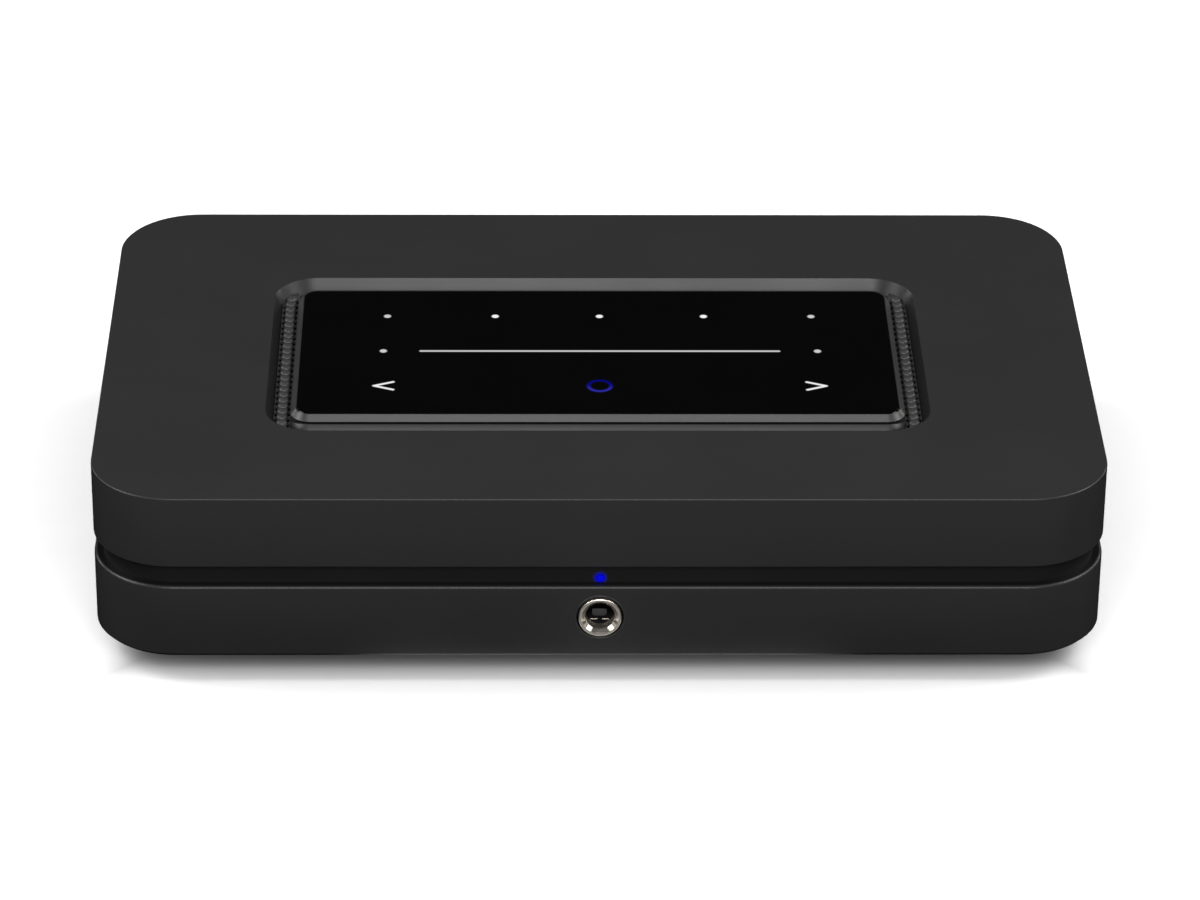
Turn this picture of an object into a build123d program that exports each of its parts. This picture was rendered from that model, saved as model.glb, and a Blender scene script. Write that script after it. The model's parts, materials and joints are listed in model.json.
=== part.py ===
from build123d import *
import math
import os

os.makedirs("parts", exist_ok=True)

# Network music streamer: a low rounded box made of two shells with a dark groove between them,
# a glass touch panel sunk in the top, a headphone socket in front and the other sockets behind.
# Millimetres. X runs right as seen from the front, Y runs back and Z runs up.
# The origin lies on the resting surface, under the middle of the outline with its rear sockets.

# Housing
housing_width = 220.0
housing_depth = 137.0
corner_radius = 18.0
upper_height = 17.0
groove_height = 4.7
lower_height = 17.7
groove_depth = 2.0
shell_wall = 2.8
top_thickness = 3.0
floor_thickness = 2.5
top_edge = 0.4
rim_edge = 0.4
lower_edge = 0.7
under_edge = 1.0
band_wall = 2.6
tongue_height = 1.6
tongue_gap = 0.15
cut_overrun = 1.0

# Rubber feet
foot_radius = 10.0
foot_height = 6.3
foot_chamfer = 0.9
foot_inset = 28.0

# Air slots in the floor
slot_length = 24.0
slot_width = 2.4
slot_pitch = 6.0
slot_row_pitch = 38.0
slot_count = 6
slot_rows = 3

# Screws
screw_gap = 0.06
screw_hole_gap = 0.3
housing_screw_radius = 1.5
housing_head_radius = 2.8
housing_head_height = 1.9
housing_head_sunk = 2.6
housing_screw_bite = 9.0
pillar_radius = 4.5
pillar_inset = 14.0
board_screw_radius = 1.2
board_head_radius = 2.3
board_head_height = 1.3
board_screw_bite = 2.4
drive_radius = 0.9
drive_depth = 0.7

# Touch pocket, tray and grilles
pocket_width = 146.6
pocket_depth = 73.2
pocket_radius = 10.2
pocket_slope_run = 1.7
pocket_forward = 1.5
tray_thickness = 1.6
tray_flange = 5.5
tray_radius = 4.0
seat_rise = 1.6
seat_apron = 1.2
ledge_rise = 1.0
ledge_width = 4.4
grille_gap = 0.05
grille_thickness = 0.7
grille_ledge = 0.25
grille_hole_radius = 0.42
grille_hole_edge = 0.16
grille_count = 25
grille_end_margin = 4.06
grille_rib_width = 1.5
grille_rib_rise = 0.35
grille_rib_base = 1.35
grille_rib_crest = 0.55

# Touch module
vent_strip_width = 3.85
end_strip_width = 4.05
glass_radius = 3.0
glass_thickness = 1.1
glass_proud = 0.3
glass_gap = 0.05
bezel_lip = 0.2
bezel_run = 1.1
bezel_drop = 1.3
bezel_undercut = 0.35
bezel_ledge = 2.0
glass_edge = 0.2
guide_gap = 0.15
guide_pip_radius = 1.6
guide_skin = 0.3
icon_row_back_share = 0.286
icon_row_front_share = 0.28
icon_led_side = 1.6
icon_led_height = 0.5
icon_outer_share = 0.362
icon_inner_share = 0.178
touch_board_gap = 0.3

# Front panel pieces
headphone_height = 10.1
headphone_bore_radius = 3.2
headphone_ring_radius = 4.65
headphone_ring_proud = 0.4
headphone_funnel_radius = 4.3
headphone_funnel_depth = 1.1
headphone_hole_radius = 5.1
headphone_hole_chamfer = 0.3
headphone_body_width = 14.0
headphone_body_height = 11.0
headphone_body_depth = 21.0
headphone_bore_length = 9.0
headphone_chamber_radius = 3.9
headphone_chamber_length = 8.0
contact_width = 3.2
contact_thickness = 0.4
contact_height = 1.3
contact_spread = 1.5
contact_length = 6.0
status_light_radius = 0.95
status_light_height = 1.1
status_light_proud = 0.3
status_light_gap = 0.05
light_pipe_past_socket = 3.0
status_led_side = 2.2
status_led_height = 0.8

# Boards
standoff_height = 3.0
standoff_radius = 3.0
board_thickness = 1.6
board_edge_gap = 1.2
board_split_gap = 2.0
board_hole_inset = 4.5
socket_notch_gap = 0.3
power_board_depth = 74.0
processor_side = 20.0
processor_height = 1.5
processor_back = 4.0
heatsink_side = 30.0
heatsink_base = 2.5
heatsink_height = 11.0
fin_thickness = 1.4
fin_count = 6
wireless_width = 20.0
wireless_depth = 16.0
wireless_height = 2.6
wireless_lid = 0.6
link_width = 12.0
link_depth = 10.0
link_height = 5.0
link_back = 22.0
link_edge_radius = 0.5

# Ribbon between the touch board and the main board
ribbon_width = 14.0
ribbon_thickness = 0.3
ribbon_bend = 3.0
ribbon_lead = 6.0
ribbon_socket_width = 18.0
ribbon_socket_depth = 4.0
ribbon_socket_height = 2.0
ribbon_top_back = 14.0
ribbon_step = 8.0

# Rear panel
panel_inset = 22.0
panel_low_margin = 5.2
panel_high_margin = 5.1
panel_corner_radius = 3.0
panel_sunk = 1.0
panel_gap = 0.2
panel_flange_margin = 1.6
panel_flange_thickness = 1.6
panel_seam = 0.2
window_gap = 0.25

# Gaps before each rear socket, left to right, as shares of the width that the sockets leave free
socket_gap_shares = (0.107, 0.066, 0.061, 0.047, 0.077, 0.063, 0.063, 0.046, 0.037, 0.340)

# Phono sockets
phono_radius = 4.15
phono_reach = 8.6
phono_bore_radius = 3.3
phono_core_gap = 0.05
phono_core_bore_radius = 1.65
phono_core_sunk = 0.6
phono_collar_radius = 5.2
phono_collar_proud = 0.4
phono_base_height = 6.6
phono_pitch = 14.0
phono_block_width = 10.4
phono_block_height = 26.0
phono_block_depth = 12.0

# Small round sockets for 3.5 mm plugs
mini_body_width = 8.0
mini_body_height = 7.4
mini_body_depth = 13.0
mini_nose_side = 6.4
mini_bore_radius = 1.8
mini_back_wall = 1.0

# Ethernet socket
ethernet_width = 16.0
ethernet_height = 13.4
ethernet_depth = 16.0
ethernet_hole_width = 11.9
ethernet_hole_height = 8.2
ethernet_hole_depth = 12.0
ethernet_hole_lift = 3.4
ethernet_latch_width = 6.2
ethernet_latch_height = 1.7
ethernet_contact_count = 8
ethernet_contact_pitch = 1.02
ethernet_contact_width = 0.5
ethernet_contact_height = 1.2
ethernet_contact_length = 8.0

# USB and HDMI sockets
metal_skin = 0.4
usb_width = 13.1
usb_height = 5.8
usb_depth = 14.0
usb_corner_radius = 0.6
usb_tongue_width = 11.0
usb_tongue_height = 1.9
usb_tongue_length = 9.0
usb_tongue_drop = 0.7
tongue_gap_in_skin = 0.05
hdmi_width = 15.0
hdmi_height = 5.6
hdmi_depth = 12.0
hdmi_shoulder_share = 0.55
hdmi_foot_width = 12.0
hdmi_tongue_width = 11.0
hdmi_tongue_height = 1.4
hdmi_tongue_length = 7.0
tongue_block_length = 3.0

# Optical socket and its shutter
optical_width = 10.8
optical_height = 12.6
optical_depth = 14.5
optical_hole_width = 8.6
optical_hole_height = 8.6
optical_hole_depth = 12.0
optical_hole_lift = 1.1
optical_hole_chamfer = 1.3
shutter_gap = 0.3
shutter_thickness = 0.8
shutter_behind_mouth = 1.4
shutter_pocket_height = 2.0
shutter_pin_radius = 0.5
shutter_pin_gap = 0.06
shutter_pin_length = 0.6
shutter_knuckle_radius = 0.62

# Mains inlet
inlet_width = 22.0
inlet_height = 13.5
inlet_depth = 18.0
inlet_hole_depth = 12.0
inlet_pin_radius = 1.2
inlet_pin_pitch = 8.6
inlet_waist_height = 6.4
inlet_lobe_radius = 4.2
inlet_pin_sunk = 3.0
inlet_corner_radius = 1.2

# Power supply parts
core_width = 24.0
core_depth = 12.0
core_height = 20.0
core_leg = 4.0
core_middle = 7.0
core_yoke = 4.0
winding_gap = 0.3
winding_bulge = 5.0
winding_radius = 2.5
core_forward = 42.0
bulk_radius = 8.0
bulk_height = 22.0
bulk_forward = 22.0
output_radius = 4.0
output_height = 13.0
output_pitch = 10.5
output_count = 3
output_forward = 62.0
capacitor_score_width = 0.4
capacitor_score_depth = 0.3
capacitor_score_margin = 1.6

# Levels, from the resting surface up
lower_z = foot_height
groove_z = lower_z + lower_height
upper_z = groove_z + groove_height
top_z = upper_z + upper_height
ceiling_z = top_z - top_thickness
floor_z = lower_z + floor_thickness
board_z = floor_z + standoff_height
board_top_z = board_z + board_thickness

# Fore and aft
front_y = headphone_ring_proud - (headphone_ring_proud + housing_depth + phono_reach) / 2
back_y = front_y + housing_depth
middle_y = (front_y + back_y) / 2
pocket_y = middle_y - pocket_forward
inner_front_y = front_y + shell_wall
inner_back_y = back_y - shell_wall
panel_face_y = back_y - panel_sunk
flange_y = inner_back_y - panel_flange_thickness

# Shell outlines
inner_width = housing_width - 2 * shell_wall
inner_depth = housing_depth - 2 * shell_wall
inner_radius = corner_radius - shell_wall
band_width = housing_width - 2 * groove_depth
band_depth = housing_depth - 2 * groove_depth
band_radius = corner_radius - groove_depth
band_inner_width = band_width - 2 * band_wall
band_inner_depth = band_depth - 2 * band_wall
band_inner_radius = band_radius - band_wall
tongue_width = inner_width - 2 * tongue_gap
tongue_depth = inner_depth - 2 * tongue_gap
tongue_radius = inner_radius - tongue_gap
pillar_span_x = housing_width - 2 * pillar_inset
pillar_span_y = housing_depth - 2 * pillar_inset
foot_span_x = housing_width - 2 * foot_inset
foot_span_y = housing_depth - 2 * foot_inset

# Touch pocket levels and outlines
floor_width = pocket_width - 2 * pocket_slope_run
floor_depth = pocket_depth - 2 * pocket_slope_run
floor_radius = pocket_radius - pocket_slope_run
glass_top_z = top_z + glass_proud
glass_z = glass_top_z - glass_thickness
bezel_z = ceiling_z + seat_rise
bezel_width = floor_width - 2 * vent_strip_width
bezel_depth = floor_depth - 2 * end_strip_width
rebate_width = bezel_width - 2 * (bezel_lip + bezel_run)
rebate_depth = bezel_depth - 2 * (bezel_lip + bezel_run)
rebate_radius = glass_radius + glass_gap
bezel_radius = rebate_radius + bezel_lip + bezel_run
glass_width = rebate_width - 2 * glass_gap
glass_depth = rebate_depth - 2 * glass_gap
bezel_foot_height = glass_top_z - bezel_drop - bezel_z
tray_z = ceiling_z - tray_thickness
tray_width = floor_width + 2 * tray_flange
tray_depth = floor_depth + 2 * tray_flange
seat_width = bezel_width
seat_depth = bezel_depth + 2 * seat_apron
well_width = rebate_width - 2 * bezel_ledge
well_depth = rebate_depth - 2 * bezel_ledge
touch_board_z = tray_z + ledge_rise
guide_z = touch_board_z + board_thickness
guide_thickness = glass_z - guide_z
icon_outer_x = icon_outer_share * glass_width
icon_inner_x = icon_inner_share * glass_width
icon_row_back = icon_row_back_share * glass_depth
icon_row_front = icon_row_front_share * glass_depth
grille_width = (floor_width - bezel_width) / 2 - 2 * grille_gap
grille_x = (floor_width + bezel_width) / 4
grille_pitch = (floor_depth - 2 * grille_end_margin) / (grille_count - 1)
grille_column = grille_width / 2 - grille_hole_radius - grille_hole_edge
grille_arc_x = floor_width / 2 - floor_radius
grille_arc_y = floor_depth / 2 - floor_radius

# Rear panel outlines and socket places
panel_width = housing_width - 2 * panel_inset
panel_low_z = lower_z + panel_low_margin
panel_high_z = top_z - panel_high_margin
panel_height = panel_high_z - panel_low_z
panel_middle_z = (panel_high_z + panel_low_z) / 2
socket_widths = (
    phono_block_width, phono_block_width, mini_body_width, optical_width, hdmi_width,
    usb_width, ethernet_width, mini_body_width, mini_body_width, inlet_width,
)
free_width = panel_width - sum(socket_widths)
socket_places = []
socket_edge = -panel_width / 2
for gap_share, width in zip(socket_gap_shares, socket_widths):
    socket_places.append(socket_edge + gap_share * free_width + width / 2)
    socket_edge += gap_share * free_width + width
line_x, sub_x, combo_x, optical_x, hdmi_x = socket_places[:5]
usb_x, ethernet_x, trigger_x, infrared_x, inlet_x = socket_places[5:]
socket_seams = (
    (combo_x + mini_body_width / 2 + optical_x - optical_width / 2) / 2,
    (infrared_x + mini_body_width / 2 + inlet_x - inlet_width / 2) / 2,
)
phono_low_z = board_top_z + phono_base_height
phono_high_z = phono_low_z + phono_pitch
mini_z = board_top_z + mini_body_height / 2
inlet_z = board_top_z + inlet_height / 2
headphone_z = lower_z + headphone_height
status_z = groove_z + status_light_height

# Boards
board_left = -(pillar_span_x / 2 - pillar_radius - board_edge_gap)
board_right = -board_left
board_front = inner_front_y + board_edge_gap
board_back = flange_y - board_edge_gap
board_split = socket_seams[1] - board_split_gap / 2
power_left = board_split + board_split_gap
power_front = board_back - power_board_depth
power_x = (power_left + board_right) / 2
main_places = [
    (board_left + board_hole_inset, board_front + board_hole_inset),
    (board_left + board_hole_inset, board_back - board_hole_inset),
    (board_split - board_hole_inset, board_front + board_hole_inset),
    (board_split - board_hole_inset, board_back - board_hole_inset),
]
power_places = [
    (power_left + board_hole_inset, power_front + board_hole_inset),
    (board_right - board_hole_inset, board_back - board_hole_inset),
]
board_places = main_places + power_places


def level(z):
    """Level plane centred on the housing."""
    return Plane(origin=(0, middle_y, z))


def pocket_level(z):
    """Level plane centred on the touch pocket."""
    return Plane(origin=(0, pocket_y, z))


def upright(y):
    """Upright plane across the housing: local x is X, local y is Z, and it faces the front."""
    return Plane(origin=(0, y, 0), x_dir=(1, 0, 0), z_dir=(0, -1, 0))


def screws(places, seat_z, drive, head_radius, head_height, shank_radius, shank_length, socketed):
    """Screws seated at one level, driven up where drive is 1 and down where it is -1.

    A socketed head is round with a hexagonal socket, any other is hexagonal.
    """
    with BuildPart() as group:
        with BuildSketch(Plane.XY.offset(seat_z)):
            with Locations(*places):
                if socketed:
                    Circle(head_radius)
                else:
                    RegularPolygon(head_radius, 6)
        extrude(amount=-drive * head_height)
        with BuildSketch(Plane.XY.offset(seat_z)):
            with Locations(*places):
                Circle(shank_radius)
        extrude(amount=drive * shank_length)
        if socketed:
            with BuildSketch(Plane.XY.offset(seat_z - drive * head_height)):
                with Locations(*places):
                    RegularPolygon(drive_radius, 6)
            extrude(amount=drive * drive_depth, mode=Mode.SUBTRACT)
    return group.part


pillar_places = [
    (side_x * pillar_span_x / 2, middle_y + side_y * pillar_span_y / 2)
    for side_x in (-1, 1)
    for side_y in (-1, 1)
]
foot_places = [
    (side_x * foot_span_x / 2, middle_y + side_y * foot_span_y / 2)
    for side_x in (-1, 1)
    for side_y in (-1, 1)
]
icon_places = [
    (-icon_outer_x, icon_row_back),
    (-icon_inner_x, icon_row_back),
    (0, icon_row_back),
    (icon_inner_x, icon_row_back),
    (icon_outer_x, icon_row_back),
    (-icon_outer_x, 0),
    (icon_outer_x, 0),
    (-icon_outer_x, -icon_row_front),
    (0, -icon_row_front),
    (icon_outer_x, -icon_row_front),
]

# The opening of the rear panel, cut out of both shells
with BuildPart() as rear_opening:
    with BuildSketch(upright(back_y + cut_overrun)):
        with Locations((0, panel_middle_z)):
            RectangleRounded(panel_width, panel_height, panel_corner_radius)
    extrude(amount=shell_wall + 2 * cut_overrun)

# Lower shell: a tub with four pillars and a rim that the middle frame stands on
with BuildPart() as lower_shell:
    with BuildSketch(level(lower_z)):
        RectangleRounded(housing_width, housing_depth, corner_radius)
    extrude(amount=lower_height)
    chamfer(lower_shell.edges().group_by(Axis.Z)[-1], lower_edge)
    chamfer(lower_shell.edges().group_by(Axis.Z)[0], under_edge)
    with BuildSketch(level(floor_z)):
        RectangleRounded(inner_width, inner_depth, inner_radius)
    extrude(amount=lower_height, mode=Mode.SUBTRACT)
    with BuildSketch(level(floor_z)):
        with GridLocations(pillar_span_x, pillar_span_y, 2, 2):
            RegularPolygon(pillar_radius, 8)
    extrude(amount=groove_z - floor_z)
    # Holes for the screws, through the pillars
    with BuildSketch(level(lower_z)):
        with GridLocations(pillar_span_x, pillar_span_y, 2, 2):
            Circle(housing_head_radius + screw_hole_gap)
    extrude(amount=housing_head_sunk, mode=Mode.SUBTRACT)
    with BuildSketch(level(lower_z)):
        with GridLocations(pillar_span_x, pillar_span_y, 2, 2):
            Circle(housing_screw_radius + screw_hole_gap)
    extrude(amount=lower_height, mode=Mode.SUBTRACT)
    # Air slots in the floor
    with BuildSketch(level(lower_z - cut_overrun)):
        with GridLocations(slot_row_pitch, slot_pitch, slot_rows, slot_count):
            Rectangle(slot_length, slot_width)
    extrude(amount=floor_thickness + 2 * cut_overrun, mode=Mode.SUBTRACT)
    # Hole of the headphone socket, with its edge broken
    with BuildSketch(upright(front_y - cut_overrun)):
        with Locations((0, headphone_z)):
            Circle(headphone_hole_radius)
    extrude(amount=-(shell_wall + 2 * cut_overrun), mode=Mode.SUBTRACT)
    chamfer(lower_shell.edges().filter_by(GeomType.CIRCLE).group_by(Axis.Y)[0], headphone_hole_chamfer)
    add(rear_opening.part, mode=Mode.SUBTRACT)
lower_shell.part.label = "lower_shell"
export_step(lower_shell.part, "parts/lower_shell.step")

# Middle frame: the dark band of the groove, with a tongue into each shell
with BuildPart() as mid_frame:
    with BuildSketch(level(groove_z)):
        RectangleRounded(band_width, band_depth, band_radius)
    extrude(amount=groove_height)
    with BuildSketch(level(groove_z - tongue_height)):
        RectangleRounded(tongue_width, tongue_depth, tongue_radius)
    extrude(amount=groove_height + 2 * tongue_height)
    with BuildSketch(level(groove_z - tongue_height)):
        RectangleRounded(band_inner_width, band_inner_depth, band_inner_radius)
    extrude(amount=groove_height + 2 * tongue_height, mode=Mode.SUBTRACT)
    # The rear panel stands in a gap of the band
    with BuildSketch(upright(back_y)):
        with Locations((0, panel_middle_z)):
            Rectangle(panel_width + 2 * (panel_flange_margin + panel_gap), panel_height)
    extrude(amount=groove_depth + band_wall + cut_overrun, mode=Mode.SUBTRACT)
    with BuildSketch(upright(front_y)):
        with Locations((0, status_z)):
            Circle(status_light_radius + status_light_gap)
    extrude(amount=-(groove_depth + band_wall + cut_overrun), mode=Mode.SUBTRACT)
mid_frame.part.label = "mid_frame"
export_step(mid_frame.part, "parts/mid_frame.step")

# Upper shell: a lid with the sloping sides of the touch pocket and four pillars
with BuildPart() as upper_shell:
    with BuildSketch(level(upper_z)):
        RectangleRounded(housing_width, housing_depth, corner_radius)
    extrude(amount=upper_height)
    chamfer(upper_shell.edges().group_by(Axis.Z)[-1], top_edge)
    chamfer(upper_shell.edges().group_by(Axis.Z)[0], rim_edge)
    with BuildSketch(level(upper_z)):
        RectangleRounded(inner_width, inner_depth, inner_radius)
    extrude(amount=upper_height - top_thickness, mode=Mode.SUBTRACT)
    with BuildSketch(pocket_level(ceiling_z)):
        RectangleRounded(floor_width, floor_depth, floor_radius)
    with BuildSketch(pocket_level(top_z)):
        RectangleRounded(pocket_width, pocket_depth, pocket_radius)
    loft(ruled=True, mode=Mode.SUBTRACT)
    with BuildSketch(level(groove_z)):
        with GridLocations(pillar_span_x, pillar_span_y, 2, 2):
            RegularPolygon(pillar_radius, 8)
    extrude(amount=ceiling_z - groove_z)
    with BuildSketch(level(groove_z)):
        with GridLocations(pillar_span_x, pillar_span_y, 2, 2):
            Circle(housing_screw_radius + screw_gap)
    extrude(amount=housing_screw_bite + cut_overrun, mode=Mode.SUBTRACT)
    add(rear_opening.part, mode=Mode.SUBTRACT)
upper_shell.part.label = "upper_shell"
export_step(upper_shell.part, "parts/upper_shell.step")

# Rubber feet, bonded to the underside of the lower shell
with BuildPart() as rubber_feet:
    with BuildSketch(Plane.XY):
        with Locations(*foot_places):
            Circle(foot_radius)
    extrude(amount=foot_height)
    chamfer(rubber_feet.edges().group_by(Axis.Z)[0], foot_chamfer)
rubber_feet.part.label = "rubber_feet"
export_step(rubber_feet.part, "parts/rubber_feet.step")

# Spacers that carry the boards, and the screws of the housing and the boards
with BuildPart() as board_standoffs:
    with BuildSketch(Plane.XY.offset(floor_z)):
        with Locations(*board_places):
            RegularPolygon(standoff_radius, 6)
            Circle(board_screw_radius + screw_gap, mode=Mode.SUBTRACT)
    extrude(amount=standoff_height)
board_standoffs.part.label = "board_standoffs"
export_step(board_standoffs.part, "parts/board_standoffs.step")

housing_seat_z = lower_z + housing_head_sunk
housing_screws = screws(
    pillar_places, housing_seat_z, 1, housing_head_radius, housing_head_height,
    housing_screw_radius, groove_z - housing_seat_z + housing_screw_bite, True,
)
housing_screws.label = "housing_screws"
export_step(housing_screws, "parts/housing_screws.step")

board_screws = screws(
    board_places, board_top_z, -1, board_head_radius, board_head_height,
    board_screw_radius, board_thickness + board_screw_bite, False,
)
board_screws.label = "board_screws"
export_step(board_screws, "parts/board_screws.step")

# Touch tray: the floor of the pocket, with a raised seat and a well for the touch board
with BuildPart() as touch_tray:
    with BuildSketch(pocket_level(ceiling_z)):
        RectangleRounded(seat_width, seat_depth, bezel_radius)
    extrude(amount=seat_rise)
    chamfer(touch_tray.edges().group_by(Axis.Z)[-1], seat_apron)
    with BuildSketch(pocket_level(tray_z)):
        RectangleRounded(tray_width, tray_depth, tray_radius)
    extrude(amount=tray_thickness)
    with BuildSketch(pocket_level(touch_board_z)):
        Rectangle(well_width, well_depth)
    extrude(amount=bezel_z - touch_board_z, mode=Mode.SUBTRACT)
    with BuildSketch(pocket_level(tray_z)):
        Rectangle(well_width - 2 * ledge_width, well_depth - 2 * ledge_width)
    extrude(amount=ledge_rise, mode=Mode.SUBTRACT)
    with BuildSketch(pocket_level(tray_z)):
        with Locations((-grille_x, 0), (grille_x, 0)):
            Rectangle(grille_width - 2 * grille_ledge, floor_depth)
        RectangleRounded(
            floor_width - 2 * (grille_gap + grille_ledge),
            floor_depth - 2 * (grille_gap + grille_ledge),
            floor_radius - grille_gap - grille_ledge,
            mode=Mode.INTERSECT,
        )
    extrude(amount=tray_thickness, mode=Mode.SUBTRACT)
touch_tray.part.label = "touch_tray"
export_step(touch_tray.part, "parts/touch_tray.step")


def grille_reach(x, margin):
    """How far from the pocket's middle line the pocket floor runs at x, less a margin."""
    radius = floor_radius - grille_gap - margin
    past_straight = max(abs(x) - grille_arc_x, 0)
    return grille_arc_y + math.sqrt(max(radius**2 - past_straight**2, 0))


# Vent grilles: strips along both sides of the touch module, with cross ribs and, at the ends of
# the valleys between them, two columns of holes
grille_top_z = ceiling_z + grille_thickness
for side, grille_name in ((-1, "vent_grille_left"), (1, "vent_grille_right")):
    rows = [(index - (grille_count - 1) / 2) * grille_pitch for index in range(grille_count)]
    columns = [side * (grille_x - grille_column), side * (grille_x + grille_column)]
    hole_margin = grille_hole_radius + grille_hole_edge
    valleys = [y - grille_pitch / 2 for y in rows[1:]]
    holes = [(x, y) for x in columns for y in valleys if abs(y) < grille_reach(x, hole_margin)]
    rib_end_x = grille_x + grille_rib_width / 2
    ribs = [y for y in rows if abs(y) < grille_reach(rib_end_x, grille_rib_base / 2)]
    with BuildPart() as grille:
        with BuildSketch(pocket_level(ceiling_z)):
            with Locations((side * grille_x, 0)):
                Rectangle(grille_width, floor_depth)
            RectangleRounded(
                floor_width - 2 * grille_gap,
                floor_depth - 2 * grille_gap,
                floor_radius - grille_gap,
                mode=Mode.INTERSECT,
            )
        extrude(amount=grille_thickness)
        with BuildSketch(pocket_level(ceiling_z)):
            with Locations(*holes):
                RegularPolygon(grille_hole_radius, 4)
        extrude(amount=grille_thickness, mode=Mode.SUBTRACT)
        rib_start_x = side * grille_x - grille_rib_width / 2
        across = Plane(origin=(rib_start_x, pocket_y, grille_top_z), x_dir=(0, 1, 0), z_dir=(1, 0, 0))
        with BuildSketch(across):
            for rib_y in ribs:
                with BuildLine():
                    Polyline(
                        (rib_y - grille_rib_base / 2, 0),
                        (rib_y - grille_rib_crest / 2, grille_rib_rise),
                        (rib_y + grille_rib_crest / 2, grille_rib_rise),
                        (rib_y + grille_rib_base / 2, 0),
                        close=True,
                    )
                make_face()
        extrude(amount=grille_rib_width)
    grille.part.label = grille_name
    export_step(grille.part, f"parts/{grille_name}.step")

# Touch bezel: the bevelled ring round the glass, standing on the seat with a shadow gap
with BuildPart() as touch_bezel:
    with BuildSketch(pocket_level(bezel_z)):
        RectangleRounded(
            bezel_width - 2 * bezel_undercut,
            bezel_depth - 2 * bezel_undercut,
            bezel_radius - bezel_undercut,
        )
    extrude(amount=bezel_foot_height)
    with BuildSketch(pocket_level(bezel_z + bezel_foot_height)):
        RectangleRounded(bezel_width, bezel_depth, bezel_radius)
    with BuildSketch(pocket_level(glass_top_z)):
        RectangleRounded(
            rebate_width + 2 * bezel_lip,
            rebate_depth + 2 * bezel_lip,
            rebate_radius + bezel_lip,
        )
    loft(ruled=True)
    with BuildSketch(pocket_level(glass_z)):
        RectangleRounded(rebate_width, rebate_depth, rebate_radius)
    extrude(amount=glass_thickness, mode=Mode.SUBTRACT)
    with BuildSketch(pocket_level(bezel_z)):
        Rectangle(well_width, well_depth)
    extrude(amount=glass_z - bezel_z, mode=Mode.SUBTRACT)
touch_bezel.part.label = "touch_bezel"
export_step(touch_bezel.part, "parts/touch_bezel.step")

with BuildPart() as touch_glass:
    with BuildSketch(pocket_level(glass_z)):
        RectangleRounded(glass_width, glass_depth, glass_radius)
    extrude(amount=glass_thickness)
    chamfer(touch_glass.edges().group_by(Axis.Z)[-1], glass_edge)
touch_glass.part.label = "touch_glass"
export_step(touch_glass.part, "parts/touch_glass.step")

# Light guide under the glass, hollowed under each lit sign
with BuildPart() as light_guide:
    with BuildSketch(pocket_level(guide_z)):
        Rectangle(well_width - 2 * guide_gap, well_depth - 2 * guide_gap)
    extrude(amount=guide_thickness)
    with BuildSketch(pocket_level(guide_z)):
        with Locations(*icon_places):
            RegularPolygon(guide_pip_radius, 8)
    extrude(amount=guide_thickness - guide_skin, mode=Mode.SUBTRACT)
light_guide.part.label = "light_guide"
export_step(light_guide.part, "parts/light_guide.step")

# Touch board with a lamp in each hollow and the ribbon's socket underneath
ribbon_top_z = touch_board_z - ribbon_socket_height
with BuildPart() as touch_board:
    with BuildSketch(pocket_level(touch_board_z)):
        Rectangle(well_width - 2 * touch_board_gap, well_depth - 2 * touch_board_gap)
    extrude(amount=board_thickness)
    with BuildSketch(pocket_level(guide_z)):
        with Locations(*icon_places):
            Rectangle(icon_led_side, icon_led_side)
    extrude(amount=icon_led_height)
    with BuildSketch(pocket_level(ribbon_top_z)):
        with Locations((0, ribbon_top_back)):
            Rectangle(ribbon_socket_width, ribbon_socket_depth)
    extrude(amount=ribbon_socket_height)
touch_board.part.label = "touch_board"
export_step(touch_board.part, "parts/touch_board.step")

# Flat ribbon from the touch board down to the main board, with a step to give it slack
ribbon_top_y = pocket_y + ribbon_top_back
ribbon_low_y = ribbon_top_y + ribbon_step
ribbon_low_z = board_top_z + ribbon_socket_height
across_ribbon = Plane(origin=(-ribbon_width / 2, 0, 0), x_dir=(0, 1, 0), z_dir=(1, 0, 0))
with BuildPart() as touch_ribbon:
    with BuildSketch(across_ribbon):
        with BuildLine() as ribbon_line:
            FilletPolyline(
                (ribbon_top_y, ribbon_top_z),
                (ribbon_top_y, ribbon_top_z - ribbon_lead),
                (ribbon_low_y, ribbon_low_z + ribbon_lead),
                (ribbon_low_y, ribbon_low_z),
                radius=ribbon_bend,
            )
        trace(line_width=ribbon_thickness)
    extrude(amount=ribbon_width)
touch_ribbon.part.label = "touch_ribbon"
export_step(touch_ribbon.part, "parts/touch_ribbon.step")

# Status light pipe: from the groove back over the headphone socket, then mitred and down to its lamp
status_start_y = front_y + groove_depth - status_light_proud
status_bend_y = inner_front_y + headphone_body_depth + light_pipe_past_socket
status_led_z = board_top_z + status_led_height
with BuildPart() as status_light_pipe:
    with BuildLine() as pipe_line:
        Polyline(
            (0, status_start_y, status_z),
            (0, status_bend_y, status_z),
            (0, status_bend_y, status_led_z),
        )
    with BuildSketch(upright(status_start_y)):
        with Locations((0, status_z)):
            Circle(status_light_radius)
    sweep(transition=Transition.RIGHT)
status_light_pipe.part.label = "status_light_pipe"
export_step(status_light_pipe.part, "parts/status_light_pipe.step")

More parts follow.
